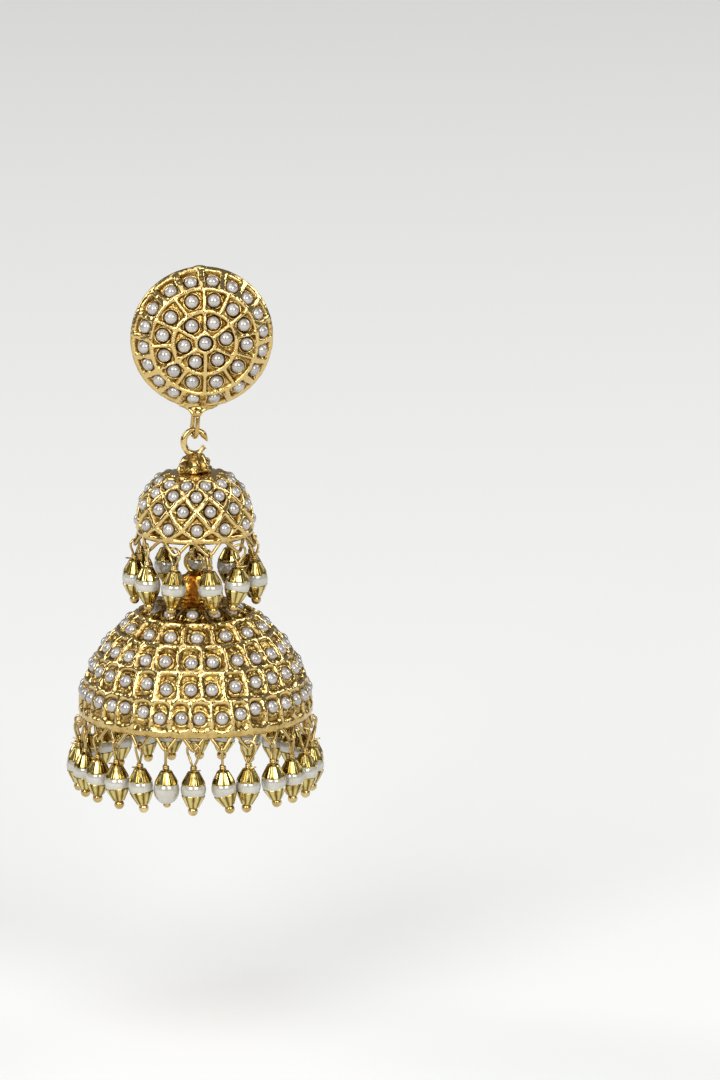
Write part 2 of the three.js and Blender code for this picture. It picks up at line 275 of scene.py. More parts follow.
def pearl_lustre_group() -> bpy.types.NodeTree:
    """The soft bands and spots of an imitation pearl's coat.

    Returns:
        The shader group, with outputs Colour and Roughness.
    """
    made = TreeWithInputs("Pearl lustre", "ShaderNodeTree")
    body = made.take("Body", "Color")
    blush = made.take("Blush", "Color")
    scale = made.take("Scale", "Float", 600.0)
    place = made.node("ShaderNodeTexCoord").outputs["Object"]
    wires = {"Vector": place, "Scale": scale, "Detail": 2.0}
    drift = made.node("ShaderNodeTexNoise", wires).outputs["Fac"]
    made.give("Colour", "Color", made.blend(made.ease(drift, 0.35, 0.65), body, blush))
    made.give("Roughness", "Float", made.ease(drift, 0.3, 0.7, 0.08, 0.15))
    return made.tree


def new_material(name: str) -> tuple[bpy.types.Material, NodeBuilder, bpy.types.Node]:
    """A material with its shader alone.

    Args:
        name: The material's name.

    Returns:
        The material, a builder on its nodes, and its Principled shader.
    """
    made = bpy.data.materials.new(name)
    made.use_nodes = True
    return made, NodeBuilder(made.node_tree), made.node_tree.nodes["Principled BSDF"]


@dataclass(frozen=True)
class GoldFinish:
    """Gold plate in one tone, darker in its recesses with patina and painted shade, and brighter on
    its ridges with polish and painted highlight. The depth of its bumps is in millimetres.
    """

    name: str
    deep: Colour
    face: Colour
    bright: Colour
    patina: float
    grain: float
    smoothest: float = 0.12
    roughest: float = 0.3
    bump: float = 0.4
    bump_depth: float = 0.04
    reads_relief: bool = False
    relief: float = 0.7

    def material(self, group: bpy.types.NodeTree) -> bpy.types.Material:
        """Makes the material.

        Args:
            group: The worn gold shader group.

        Returns:
            The finished material.
        """
        made, build, shader = new_material(self.name)
        relief: Any = self.relief
        if self.reads_relief:
            relief = build.node(
                "ShaderNodeAttribute", attribute_type="GEOMETRY", attribute_name="relief"
            ).outputs["Fac"]
        wires = {
            "Deep": self.deep,
            "Face": self.face,
            "Bright": self.bright,
            "Relief": relief,
            "Patina": self.patina,
            "Grain scale": self.grain,
            "Smoothest": self.smoothest,
            "Roughest": self.roughest,
        }
        wear_and_shade = build.node("ShaderNodeGroup", wires, node_tree=group).outputs
        depth = {"Strength": self.bump, "Distance": self.bump_depth * MM, "Height": wear_and_shade["Height"]}
        bump = build.node("ShaderNodeBump", depth).outputs["Normal"]
        build.feed(
            shader,
            {
                "Metallic": 1.0,
                "Base Color": wear_and_shade["Colour"],
                "Roughness": wear_and_shade["Roughness"],
                "Normal": bump,
            },
        )
        return made


@dataclass(frozen=True)
class PearlFinish:
    """An imitation pearl's coat, which turns towards its outline to a painted reflection of the
    gold round it and a painted shade.
    """

    name: str
    body: Colour
    blush: Colour
    edge: Colour
    scale: float = 600.0
    edge_share: float = 0.75
    edge_blend: float = 0.45
    edge_from: float = 0.25
    edge_full: float = 0.95
    ior: float = 2.5
    coat: float = 0.6
    coat_roughness: float = 0.04

    def material(self, group: bpy.types.NodeTree) -> bpy.types.Material:
        """Makes the material.

        Args:
            group: The pearl lustre shader group.

        Returns:
            The finished material.
        """
        made, build, shader = new_material(self.name)
        wires = {"Body": self.body, "Blush": self.blush, "Scale": self.scale}
        lustre = build.node("ShaderNodeGroup", wires, node_tree=group).outputs
        # Towards the outline the colour turns to the edge colour: a painted reflection of the gold
        # cups and a painted shade.
        facing = build.node("ShaderNodeLayerWeight", {"Blend": self.edge_blend}).outputs["Facing"]
        rim = build.ease(facing, self.edge_from, self.edge_full, 0.0, self.edge_share)
        build.feed(
            shader,
            {
                "IOR": self.ior,
                "Coat Weight": self.coat,
                "Coat Roughness": self.coat_roughness,
                "Base Color": build.blend(rim, lustre["Colour"], self.edge),
                "Roughness": lustre["Roughness"],
            },
        )
        return made


# Deep is the colour of hollows, partly patina and partly painted shade; bright is the colour of
# ridges, partly polish and partly painted highlight.
CAST_GOLD = GoldFinish(
    "cast_gold",
    deep=(0.12, 0.045, 0.005, 1),
    face=(0.4, 0.265, 0.07, 1),
    bright=(0.7, 0.51, 0.2, 1),
    patina=0.5,
    grain=2300.0,
    smoothest=0.1,
    roughest=0.34,
    bump=0.6,
    bump_depth=0.07,
    reads_relief=True,
)
# The neck cap's orange-brown gold is painted shade: the cast gold as it looks in the shade under
# the small bell.
NECK_GOLD_IN_SHADE = GoldFinish(
    "neck_gold_painted_shade",
    deep=(0.3, 0.1, 0.01, 1),
    face=(0.62, 0.31, 0.05, 1),
    bright=(0.8, 0.52, 0.14, 1),
    patina=0.6,
    grain=1900.0,
    roughest=0.34,
    bump=0.6,
    bump_depth=0.07,
    reads_relief=True,
)
WIRE_GOLD = GoldFinish(
    "wire_gold",
    deep=(0.22, 0.085, 0.014, 1),
    face=(0.5, 0.35, 0.12, 1),
    bright=(0.78, 0.63, 0.31, 1),
    patina=0.9,
    grain=900.0,
    relief=0.68,
)
CAP_GOLD = GoldFinish(
    "cap_gold",
    deep=(0.13, 0.075, 0.01, 1),
    face=(0.38, 0.28, 0.075, 1),
    bright=(0.67, 0.55, 0.22, 1),
    patina=1.1,
    grain=1500.0,
    smoothest=0.07,
    roughest=0.2,
    bump=0.25,
    reads_relief=True,
)
# The edge colours below are painted reflections of the gold round each pearl, with painted shade at
# the outline.
SEED_PEARL = PearlFinish(
    "seed_pearl",
    body=(0.4, 0.37, 0.335, 1),
    blush=(0.27, 0.245, 0.22, 1),
    edge=(0.14, 0.085, 0.04, 1),
)
DROP_PEARL = PearlFinish(
    "drop_pearl",
    body=(0.48, 0.455, 0.385, 1),
    blush=(0.4, 0.375, 0.305, 1),
    edge=(0.24, 0.21, 0.12, 1),
    scale=350.0,
)


class Finishes:
    """The materials of the earring, each made once."""

    def __init__(self) -> None:
        """Makes all of them from two shared shader groups."""
        gold = gold_wear_and_shade_group()
        lustre = pearl_lustre_group()
        self.by_slot = {Slot.PLATE: CAST_GOLD.material(gold)}
        # An orange copy of the cast gold for the neck cap, with the shade under the small bell
        # painted in.
        self.neck = NECK_GOLD_IN_SHADE.material(gold)
        self.by_slot[Slot.WIRE] = WIRE_GOLD.material(gold)
        self.by_slot[Slot.CAPS] = CAP_GOLD.material(gold)
        self.by_slot[Slot.SEEDS] = SEED_PEARL.material(lustre)
        self.by_slot[Slot.DROPS] = DROP_PEARL.material(lustre)


# Meshes


def linked(name: str, data: bpy.types.ID) -> bpy.types.Object:
    """A new object in the scene.

    Args:
        name: The object's name.
        data: Its mesh, lamp or camera.

    Returns:
        The object.
    """
    made = bpy.data.objects.new(name, data)
    bpy.context.scene.collection.objects.link(made)
    return made


def mesh_object(
    name: str,
    points: np.ndarray,
    faces: Sequence[Face],
    edges: Sequence[tuple[int, int]] = (),
) -> bpy.types.Object:
    """A new object at the origin.

    Args:
        name: The object's name.
        points: Its corners in millimetres, one row each.
        faces: The corners of each face.
        edges: The ends of each loose edge.

    Returns:
        The object, linked to the scene.
    """
    mesh = bpy.data.meshes.new(name)
    mesh.from_pydata((np.asarray(points, dtype=float) * MM).tolist(), list(edges), list(faces))
    mesh.update()
    return linked(name, mesh)


def store(made: bpy.types.Object, name: str, kind: str, values: np.ndarray) -> None:
    """Stores a value at each corner of an object.

    Args:
        made: The object.
        name: The attribute's name.
        kind: Its data type.
        values: The values, one row each.
    """
    attribute = made.data.attributes.new(name, kind, "POINT")
    part = "vector" if kind == "FLOAT_VECTOR" else "value"
    attribute.data.foreach_set(part, np.ravel(values).astype(float))


def smooth(made: bpy.types.Object, material: bpy.types.Material) -> bpy.types.Object:
    """Shades an object smooth and gives it its finish.

    Args:
        made: The object.
        material: Its finish.

    Returns:
        The same object.
    """
    made.data.materials.append(material)
    made.data.polygons.foreach_set("use_smooth", [True] * len(made.data.polygons))
    return made


def settle(made: bpy.types.Object, body: Body, nodes: Iterable[str] = ()) -> None:
    """Puts a finished piece on its body.

    Args:
        made: The piece.
        body: The body that it rides on.
        nodes: The CAD nodes that it stands for.
    """
    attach(made, body.value)
    names = list(nodes)
    if names:
        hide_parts(*names)
    log.info("%s on %s: %d faces", made.name, body.value, len(made.data.polygons))


@dataclass
class Turned:
    """A solid turned about +Z from an outline of radius and height, with lobes and rough skin."""

    outline: Profile
    sides: int
    lobes: int = 0
    lobe_depth: float = 0.0
    lobe_turn: float = 0.0
    lobe_ease: Callable[[float], float] = lambda share: 1.0
    rough: float = 0.0
    rough_size: float = 1.0

    NO_RADIUS = 1e-6

    def mesh(self) -> tuple[np.ndarray, list[Face]]:
        """Builds the corners and faces.

        Returns:
            The corners in millimetres and the faces.
        """
        points: list[Vector] = []
        faces: list[Face] = []
        rings: list[list[int]] = []
        for row, (radius, height) in enumerate(self.outline):
            if radius < self.NO_RADIUS:
                rings.append([len(points)])
                points.append(Vector((0, 0, height)))
                continue
            depth = self.lobe_depth
            ease = self.lobe_ease(row / (len(self.outline) - 1))
            rings.append(list(range(len(points), len(points) + self.sides)))
            for k in range(self.sides):
                turn = TAU * k / self.sides
                wave = math.cos(self.lobes * (turn - self.lobe_turn)) if self.lobes else 0.0
                points.append(polar(radius * (1 + depth * wave * ease), turn, height))
        for low, high in zip(rings, rings[1:]):
            for k in range(self.sides):
                a, b = k, (k + 1) % self.sides
                around = (low[a % len(low)], low[b % len(low)])
                back = (high[b % len(high)], high[a % len(high)])
                face = tuple(dict.fromkeys(around + back))
                if len(face) > 2:
                    faces.append(face)
        if self.rough:
            for i, point in enumerate(points):
                points[i] = point + self.rough * noise.noise_vector(point / self.rough_size)
        return np.array([tuple(point) for point in points]), faces


def polar(radius: float, turn: float, height: float, x: float = 0.0, y: float = 0.0) -> Vector:
    """A point round an upright axis.

    Args:
        radius: Its distance from the axis.
        turn: Its turn in radians.
        height: Its height.
        x: Where the axis stands.
        y: Where the axis stands.

    Returns:
        The point.
    """
    return Vector((x + radius * math.cos(turn), y + radius * math.sin(turn), height))


def hung(height: float) -> Matrix:
    """The place at a height on the axis that the bells hang on."""
    return Matrix.Translation((HANG_X, HANG_Y, height))


def lifted(height: float) -> Matrix:
    """The place at a height on the Z axis."""
    return Matrix.Translation((0, 0, height))


def scaled(x: float, y: float, z: float) -> Matrix:
    """A size along each axis."""
    return Matrix.Diagonal((x, y, z, 1))


def placed(points: np.ndarray, matrix: Matrix) -> np.ndarray:
    """Corners moved by a matrix.

    Args:
        points: The corners, one row each.
        matrix: The 4 by 4 matrix.

    Returns:
        The moved corners.
    """
    grid = np.array(matrix)
    return points @ grid[:3, :3].T + grid[:3, 3]


# Geometry Nodes


class Grower:
    """A Geometry Nodes tree that ends in real geometry with a finish."""

    WORKING = ("stance", "size", "thickness")

    def __init__(self, name: str) -> None:
        """Starts the tree.

        Args:
            name: The tree's name.
        """
        self.build = TreeWithInputs(name, "GeometryNodeTree")
        self.start = self.build.take("Geometry", "Geometry")

    def end(self, geometry: bpy.types.NodeSocket) -> None:
        """Closes the tree with real, smooth geometry and its finish.

        Args:
            geometry: What the tree has made.
        """
        finish = self.build.take("Finish", "Material")
        real = self.build.node("GeometryNodeRealizeInstances", {0: geometry}).outputs[0]
        even = self.build.node("GeometryNodeSetShadeSmooth", {0: real, 2: True}).outputs[0]
        dressed = self.build.node("GeometryNodeSetMaterial", {0: even, "Material": finish})
        self.build.give("Geometry", "Geometry", dressed.outputs[0])

    def grow(self, name: str, start: bpy.types.Object, values: dict[str, Any]) -> bpy.types.Object:
        """Runs the tree on an object and keeps the result as a plain mesh.

        Args:
            name: The new piece's name.
            start: The object that the tree starts from, which is used up.
            values: The tree's inputs by name.

        Returns:
            The new piece.
        """
        modifier = start.modifiers.new("grow", "NODES")
        modifier.node_group = self.build.tree
        for label, value in values.items():
            modifier[self.build.identifiers[label]] = value
        bpy.context.view_layer.update()
        graph = bpy.context.evaluated_depsgraph_get()
        mesh = bpy.data.meshes.new_from_object(start.evaluated_get(graph))
        start.modifiers.remove(modifier)
        bpy.data.objects.remove(start)
        for label in self.WORKING:
            if label in mesh.attributes:
                mesh.attributes.remove(mesh.attributes[label])
        mesh.name = name
        return linked(name, mesh)

    def stored(self, name: str, kind: str) -> bpy.types.NodeSocket:
        """Reads a value that the starting object holds.

        Args:
            name: The attribute's name.
            kind: Its data type.

        Returns:
            The socket of the value.
        """
        read = self.build.node("GeometryNodeInputNamedAttribute", {0: name}, data_type=kind)
        return read.outputs[0]

    def instances(self, form: bpy.types.NodeSocket) -> bpy.types.NodeSocket:
        """Sets a form on every point, turned and sized as the point says.

        Args:
            form: The geometry of one form.

        Returns:
            The instances.
        """
        stance = self.stored("stance", "QUATERNION")
        size = self.stored("size", "FLOAT_VECTOR")
        wires = {0: self.start, 2: form, 5: stance, 6: size}
        return self.build.node("GeometryNodeInstanceOnPoints", wires).outputs[0]


class BeadGrower(Grower):
    """Sets round beads on points."""

    def __init__(self) -> None:
        """Builds the tree."""
        super().__init__("Beads on points")
        segments = self.build.take("Segments", "Int", 20)
        rings = self.build.take("Rings", "Int", 12)
        ball = self.build.node("GeometryNodeMeshUVSphere", {0: segments, 1: rings, 2: MM})
        self.end(self.instances(ball.outputs[0]))


class WireGrower(Grower):
    """Draws round wire along loose edges."""

    def __init__(self) -> None:
        """Builds the tree."""
        super().__init__("Wire along paths")
        radius = self.build.take("Wire radius", "Float", 0.3 * MM)
        sides = self.build.take("Sides", "Int", 10)
        path = self.build.node("GeometryNodeMeshToCurve", {0: self.start}).outputs[0]
        section = self.build.node("GeometryNodeCurvePrimitiveCircle", {0: sides, 4: radius})
        thickness = self.stored("thickness", "FLOAT")
        wires = {0: path, 1: section.outputs[0], 2: thickness, 3: True}
        self.end(self.build.node("GeometryNodeCurveToMesh", wires).outputs[0])


class CapGrower(Grower):
    """Sets fluted bead caps on points: a turned shell of flat facets between narrow creases, which
    are darkened as painted shade.
    """

    # The shell's outline from its top to its foot, each as share and value
    RADIUS = (
        (0, 0), (0.05, 0.4), (0.1, 0.47), (0.3, 0.62), (0.5, 0.775),
        (0.7, 0.925), (0.88, 1), (0.92, 0.985), (1, 0.9),
    )
    HEIGHT = (
        (0, 1), (0.05, 1), (0.1, 0.97), (0.3, 0.74), (0.5, 0.49),
        (0.7, 0.22), (0.88, 0), (0.92, -0.03), (1, 0),
    )
    FACET_DEPTH = 0.05
    CREASE_SHARPNESS = 3.0
    CREASE_SHADE_POWER = 1.2
    WELD = 0.002

    def __init__(self) -> None:
        """Builds the tree."""
        super().__init__("Fluted caps on points")
        build, times, less = self.build, self.build.times, self.build.less
        flutes = build.take("Flutes", "Int", 10)
        depth = build.take("Flute depth", "Float", 0.1)
        columns = build.take("Columns", "Int", 81)
        rows = build.take("Rows", "Int", 11)
        sheet = build.node("GeometryNodeMeshGrid", {0: 1.0, 1: 1.0, 2: columns, 3: rows})
        spot = build.node("GeometryNodeInputPosition").outputs[0]
        place = build.node("ShaderNodeSeparateXYZ", {0: spot}).outputs
        turn = times(build.math("ADD", place[0], 0.5), TAU)
        share = build.math("ADD", place[1], 0.5)
        pleat = build.math("ABSOLUTE", build.math("SINE", times(times(turn, flutes), 0.5)))
        crease = less(1.0, pleat)
        groove = times(build.math("POWER", crease, self.CREASE_SHARPNESS), depth)
        facet = times(build.math("POWER", pleat, 2.0), self.FACET_DEPTH)
        fluted = build.ease(share, 0.03, 0.2)
        sunk = less(1.0, times(build.math("ADD", groove, facet), fluted))
        reach = times(times(self.curve(share, self.RADIUS), sunk), MM)
        across = times(reach, build.math("COSINE", turn))
        deep = times(reach, build.math("SINE", turn))
        height = times(self.curve(share, self.HEIGHT), MM)
        bent = build.node("ShaderNodeCombineXYZ", {0: across, 1: deep, 2: height}).outputs[0]
        # The relief tone is lower in the creases between facets: painted shade.
        crease_shaded_tone = less(1.0, times(build.math("POWER", crease, self.CREASE_SHADE_POWER), fluted))
        wires = {0: sheet.outputs[0], "Name": "relief", "Value": crease_shaded_tone}
        toned = build.node("GeometryNodeStoreNamedAttribute", wires).outputs[0]
        shell = build.node("GeometryNodeSetPosition", {0: toned, 2: bent}).outputs[0]
        weld = {0: shell, "Distance": self.WELD * MM}
        self.end(self.instances(build.node("GeometryNodeMergeByDistance", weld).outputs[0]))

    def curve(self, share: bpy.types.NodeSocket, table: Profile) -> bpy.types.NodeSocket:
        """A number read off a drawn curve.

        Args:
            share: Where the curve is read.
            table: The curve's points.

        Returns:
            The socket of the number.
        """
        made = self.build.node("ShaderNodeFloatCurve", {1: share})
        drawn = made.mapping.curves[0]
        made.mapping.clip_min_y = -0.5
        made.mapping.use_clip = False
        for x, y in table[1:-1]:
            drawn.points.new(x, y)
        drawn.points[0].location = table[0]
        drawn.points[len(table) - 1].location = table[-1]
        made.mapping.update()
        return made.outputs[0]


def points_object(matrices: Sequence[Matrix]) -> bpy.types.Object:
    """Loose points that hold a place, a turn and a size each.

    Args:
        matrices: The places in millimetres.

    Returns:
        The object that a grower starts from.
    """
    spots, stances, sizes = zip(*(matrix.decompose() for matrix in matrices))
    made = mesh_object("points", np.array([tuple(spot) for spot in spots]), [])
    store(made, "stance", "QUATERNION", np.array([tuple(stance) for stance in stances]))
    store(made, "size", "FLOAT_VECTOR", np.array([tuple(size) for size in sizes]))
    return made


@dataclass
class Strand:
    """One wire's path in millimetres, with its thickness as a share of the wire's."""

    path: Sequence[Vector]
    thickness: Sequence[float] | None = None
    closed: bool = False

    def moved(self, matrix: Matrix) -> Strand:
        """The same strand moved by a matrix."""
        return Strand([matrix @ point for point in self.path], self.thickness, self.closed)


def strands_object(strands: Sequence[Strand]) -> bpy.types.Object:
    """Loose edges that a wire grower starts from.

    Args:
        strands: The wires' paths.

    Returns:
        The object.
    """
    points: list[tuple[float, ...]] = []
    edges: list[tuple[int, int]] = []
    thickness: list[float] = []
    for strand in strands:
        first = len(points)
        count = len(strand.path)
        points += [tuple(point) for point in strand.path]
        thickness += list(strand.thickness or [1.0] * count)
        edges += [(first + i, first + i + 1) for i in range(count - 1)]
        if strand.closed:
            edges.append((first + count - 1, first))
    made = mesh_object("paths", np.array(points), [], edges)
    store(made, "thickness", "FLOAT", np.array(thickness))
    return made


# Domes with cells and seeds


@dataclass
class Outline:
    """A dome's outline from crown to rim, as shares of its radius and height."""

    shares: Profile
    radius: float
    height: float
    samples: int = 400
    table: np.ndarray = field(init=False)
    length: float = field(init=False)

    def __post_init__(self) -> None:
        """Samples the smooth curve through the points and measures it."""
        spots = np.array([(r * self.radius, -d * self.height) for r, d in self.shares])
        padded = np.vstack([spots[:1], spots, spots[-1:]])
        steps = np.linspace(0, 1, self.samples, endpoint=False)[:, None]
        curve = []
        for i in range(len(spots) - 1):
            before, start, end, after = padded[i : i + 4]
            leave, arrive = (end - before) / 2, (after - start) / 2
            cubic = (2 * start - 2 * end + leave + arrive) * steps**3
            square = (-3 * start + 3 * end - 2 * leave - arrive) * steps**2
            curve.append(cubic + square + leave * steps + start)
        line = np.vstack([*curve, spots[-1:]])
        run = np.concatenate([[0], np.cumsum(np.hypot(*np.diff(line, axis=0).T))])
        self.length = float(run[-1])
        along = np.gradient(line, run, axis=0)
        along /= np.linalg.norm(along, axis=1)[:, None]
        self.table = np.column_stack([run / self.length, line, along])

    def at(self, share: np.ndarray) -> tuple[np.ndarray, np.ndarray, np.ndarray, np.ndarray]:
        """Reads the outline.

        Args:
            share: Shares of its length from the crown.

        Returns:
            Radius, height, and the radial and upward parts of the outward direction.
        """
        shares, *columns = self.table.T
        radius, height, slide, fall = (np.interp(share, shares, column) for column in columns)
        return radius, height, -fall, slide


@dataclass
class CellRow:
    """A row of cells round a dome, with a seed in each.

    Turns and sway are degrees, ridge is half a wall in millimetres, the rest are shares of length.
    """

    seeds: int
    top: float
    seed: float
    foot: float
    turn: float = 0.0
    turns: Sequence[float] = ()
    walls: Sequence[float] = ()
    sway: float = 0.0
    ridge: float = 0.2
    front_sag: float = 0.0

    def seed_turns(self, dice: np.random.Generator) -> np.ndarray:
        """Where the seeds sit round the dome.

        Args:
            dice: The seeded source of small differences.

        Returns:
            Turns in radians, in rising order from 0 to a full turn.
        """
        turns = np.array(self.turns or self.turn + np.arange(self.seeds) * 360 / self.seeds)
        turns = turns + dice.uniform(-self.sway, self.sway, self.seeds)
        return np.sort(np.radians(turns) % TAU)

    def wall_turns(self, seeds: np.ndarray) -> np.ndarray:
        """Where the walls stand: as drawn, or else midway between the seeds.

        Args:
            seeds: The seeds' turns in radians.

        Returns:
            Turns in radians, in rising order, past a full turn at both ends.
        """
        turns = np.sort(np.radians(self.walls) % TAU) if self.walls else seeds
        around = np.concatenate([turns[-1:] - TAU, turns, turns[:1] + TAU])
        return around if self.walls else (around[:-1] + around[1:]) / 2


@dataclass
class Seeds:
    """Seeds on a dome: their places and outward directions in millimetres."""

    places: list[Vector] = field(default_factory=list)
    outward: list[Vector] = field(default_factory=list)


def soft_least(a: np.ndarray, b: np.ndarray, blend: float) -> np.ndarray:
    """The lesser of two distances, rounded where they meet.

    Args:
        a: The first distances.
        b: The second distances.
        blend: How wide the rounding is.

    Returns:
        The rounded lesser distances.
    """
    share = np.clip(0.5 + 0.5 * (b - a) / blend, 0, 1)
    return b * (1 - share) + a * share - blend * share * (1 - share)


def step(value: np.ndarray | float, low: float, high: float) -> np.ndarray | float:
    """A smooth step from 0 to 1.

    Args:
        value: What is read.
        low: Where the step starts.
        high: Where it ends.

    Returns:
        The shares.
    """
    share = np.clip((value - low) / (high - low), 0, 1)
    return share * share * (3 - 2 * share)


def soft_band(value: np.ndarray, middle: float, width: float) -> np.ndarray:
    """A soft band, 1 at its middle.

    Args:
        value: What is read.
        middle: Where the band lies.
        width: How wide it is.

    Returns:
        The shares.
    """
    return np.exp(-(((value - middle) / width) ** 2))


@dataclass
class Dome:
    """A cast dome about +Z whose skin has seeds in cells between raised ridges, in millimetres."""

    outline: Outline
    rings: int
    sides: int
    number: int
    grain: float
    ridge_grain: float
    pit_tone: float
    pit: float = 0.5
    crown: float = 0.12
    slope: float = 0.3
    wander: float = 0.13
    cup: float = 1.2
    seed_size: float = 0.98
    seed_sunk: float = 0.42
    collar: float = 0.22
    crown_shade: float = 0.0
    seeds: Seeds = field(default_factory=Seeds)

    FAR = 9.0
    DRIFT_SIZE = 2.6
    LUMP_SIZE = 1.3
    FINE_SIZE = 0.55
    RIDGE_EASE = 0.18
    CUP_LIP = 0.86
    CUP_DEPTH = 0.06
    COLLAR_OUT = 0.12
    COLLAR_WIDTH = 0.13
    PLAIN_RIM = 0.02
    SEED_HEIGHT = 0.85

    # How much darker or brighter each part of the skin is painted, where 1 is a bright ridge; the
    # darkening at the foot of each ridge and in the gap round each seed is painted shade
    FOOT_SHADE = 0.55
    MOAT_SHADE = 0.42
    LUMP_TONE = 0.35
    COLLAR_TONE = 0.35
    RIM_TONE = 0.2
    INNER_TONE = 0.55

    def inside_cells(
        self, turn: np.ndarray, along: np.ndarray, radius: np.ndarray
    ) -> np.ndarray:
        """How far each point lies inside the edge of a cell; less than 0 on a ridge.

        Args:
            turn: Turns about the axis in radians.
            along: Distances from the crown along the skin in millimetres.
            radius: Distances from the axis.

        Returns:
            Distances in millimetres.
        """
        raise NotImplementedError

    def add_seed(self, turn: float, share: float) -> None:
        """Notes one seed.

        Args:
            turn: Its turn in radians.
            share: Its share of the outline's length.
        """
        radius, height, spread, rise = (float(part) for part in self.outline.at(np.array(share)))
        self.seeds.places.append(polar(radius, turn, height))
        self.seeds.outward.append(polar(spread, turn, rise).normalized())

    def noises(self, base: np.ndarray) -> tuple[np.ndarray, np.ndarray, np.ndarray]:
        """The skin's unevenness at three scales.

        Args:
            base: The even skin, ring by ring.

        Returns:
            How far each point wanders, and its coarse and fine lumps.
        """
        shift = Vector((17.3 * self.number, 5.1, 2.7))
        spots = [Vector(point) for point in base.reshape(-1, 3)]
        drift = [tuple(noise.noise_vector(spot / self.DRIFT_SIZE + shift)) for spot in spots]
        lump = [noise.noise(spot / self.LUMP_SIZE - shift) for spot in spots]
        fine = [noise.noise(spot / self.FINE_SIZE + shift) for spot in spots]
        grid = base.shape[:2]
        wander = np.array(drift).reshape(base.shape) * self.wander
        return wander, np.array(lump).reshape(grid), np.array(fine).reshape(grid)

    def skin(self) -> tuple[np.ndarray, np.ndarray]:
        """The outer skin, ring by ring from just under the crown to the rim.

        Returns:
            Corners in millimetres and the relief from 0 in pits to 1 on ridges, which carries
            painted shade and painted highlight as well as patina.
        """
        shares = np.linspace(0, 1, self.rings + 1)[1:, None] * np.ones((1, self.sides))
        turns = np.arange(self.sides)[None, :] * TAU / self.sides * np.ones((self.rings, 1))
        radius, height, spread, rise = self.outline.at(shares)
        base = np.stack([radius * np.cos(turns), radius * np.sin(turns), height], axis=-1)
        outward = np.stack([spread * np.cos(turns), spread * np.sin(turns), rise], axis=-1)
        drift, lump, fine = self.noises(base)
        along = shares * self.outline.length + drift[..., 0]
        turned = (turns + drift[..., 1] / np.maximum(radius, 1.0)) % TAU
        inside = self.inside_cells(turned, along, radius)
        sunk = step(inside, 0, self.slope)
        gap = np.full(inside.shape, self.FAR)
        for place in self.seeds.places:
            gap = np.minimum(gap, np.linalg.norm(base - np.array(place), axis=-1))
        seat = step(gap, self.cup * self.CUP_LIP, self.cup)
        collar = soft_band(gap - self.cup, self.COLLAR_OUT, self.COLLAR_WIDTH) * (0.3 + 0.7 * sunk)
        lift = np.where(inside < 0, self.crown * (1 - np.exp(inside / self.RIDGE_EASE)), 0.0)
        lift -= self.pit * sunk
        grain = self.ridge_grain + (1 - self.ridge_grain) * sunk
        lift += self.grain * (fine + 0.8 * lump) * grain
        lift = lift * seat - (self.pit + self.CUP_DEPTH) * (1 - seat)
        lift = (lift + self.collar * collar) * (1 - step(shares, 1 - self.PLAIN_RIM, 1))
        # Painted shade: a dark line at the foot of each ridge and a dark ring in the gap round each
        # seed; pits are darker, partly patina and partly painted shade, and lumps and collars
        # lighter.
        foot = soft_band(inside, self.slope * 0.8, 0.1)
        moat_shade = soft_band(gap, self.cup * 0.9, 0.12)
        relief = 1 - self.pit_tone * sunk - self.FOOT_SHADE * foot - self.MOAT_SHADE * moat_shade
        relief += self.LUMP_TONE * (lump + 0.5 * fine) * sunk
        relief += self.COLLAR_TONE * collar * sunk
        # Painted shade over the crown, where it lies in the shade of what hangs above it.
        crown = self.crown_shade * (1 - step(shares, 0.14, 0.3))
        relief -= crown + self.RIM_TONE * step(shares, 0.94, 0.97)
        return base + outward * lift[..., None], np.clip(relief, 0, 1)

    def solid(self, inner: Profile) -> tuple[np.ndarray, list[Face], np.ndarray]:
        """The skin, closed by rings inside or behind it.

        Args:
            inner: Radius and height of the closing rings, from the rim to the last, which closes
                on the axis.

        Returns:
            Corners, faces and the relief at each corner.
        """
        skin, relief = self.skin()
        turns = np.arange(self.sides) * TAU / self.sides
        closing = [
            np.stack([r * np.cos(turns), r * np.sin(turns), np.full(self.sides, z)], axis=-1)
            for r, z in inner
        ]
        grid = np.concatenate([skin, np.array(closing)])
        ends = [[0, 0, float(self.outline.table[0, 2])], [0, 0, inner[-1][1]]]
        points = np.vstack([grid.reshape(-1, 3), ends])
        plain = np.full(len(inner) * self.sides, self.INNER_TONE)
        tones = np.concatenate([relief.ravel(), plain, [relief[0].mean(), self.INNER_TONE]])
        pairs = [(k, (k + 1) % self.sides) for k in range(self.sides)]
        top = len(grid) * self.sides
        last = top - self.sides
        faces: list[Face] = []
        for low in range(0, last, self.sides):
            high = low + self.sides
            faces += [(high + a, high + b, low + b, low + a) for a, b in pairs]
        faces += [(a, b, top) for a, b in pairs]
        faces += [(last + b, last + a, top + 1) for a, b in pairs]
        return points, faces, tones

    def lining(self, wall: float, shares: Sequence[float]) -> list[tuple[float, float]]:
        """The bell's inside, at a wall's depth behind the skin.

        Args:
            wall: The wall's thickness in millimetres.
            shares: Shares of the outline from the rim towards the crown.

        Returns:
            Radius and height of each ring.
        """
        radius, height, spread, rise = self.outline.at(np.array(shares))
        pairs = zip(radius - spread * wall, height - rise * wall)
        return [(float(r), float(h)) for r, h in pairs]

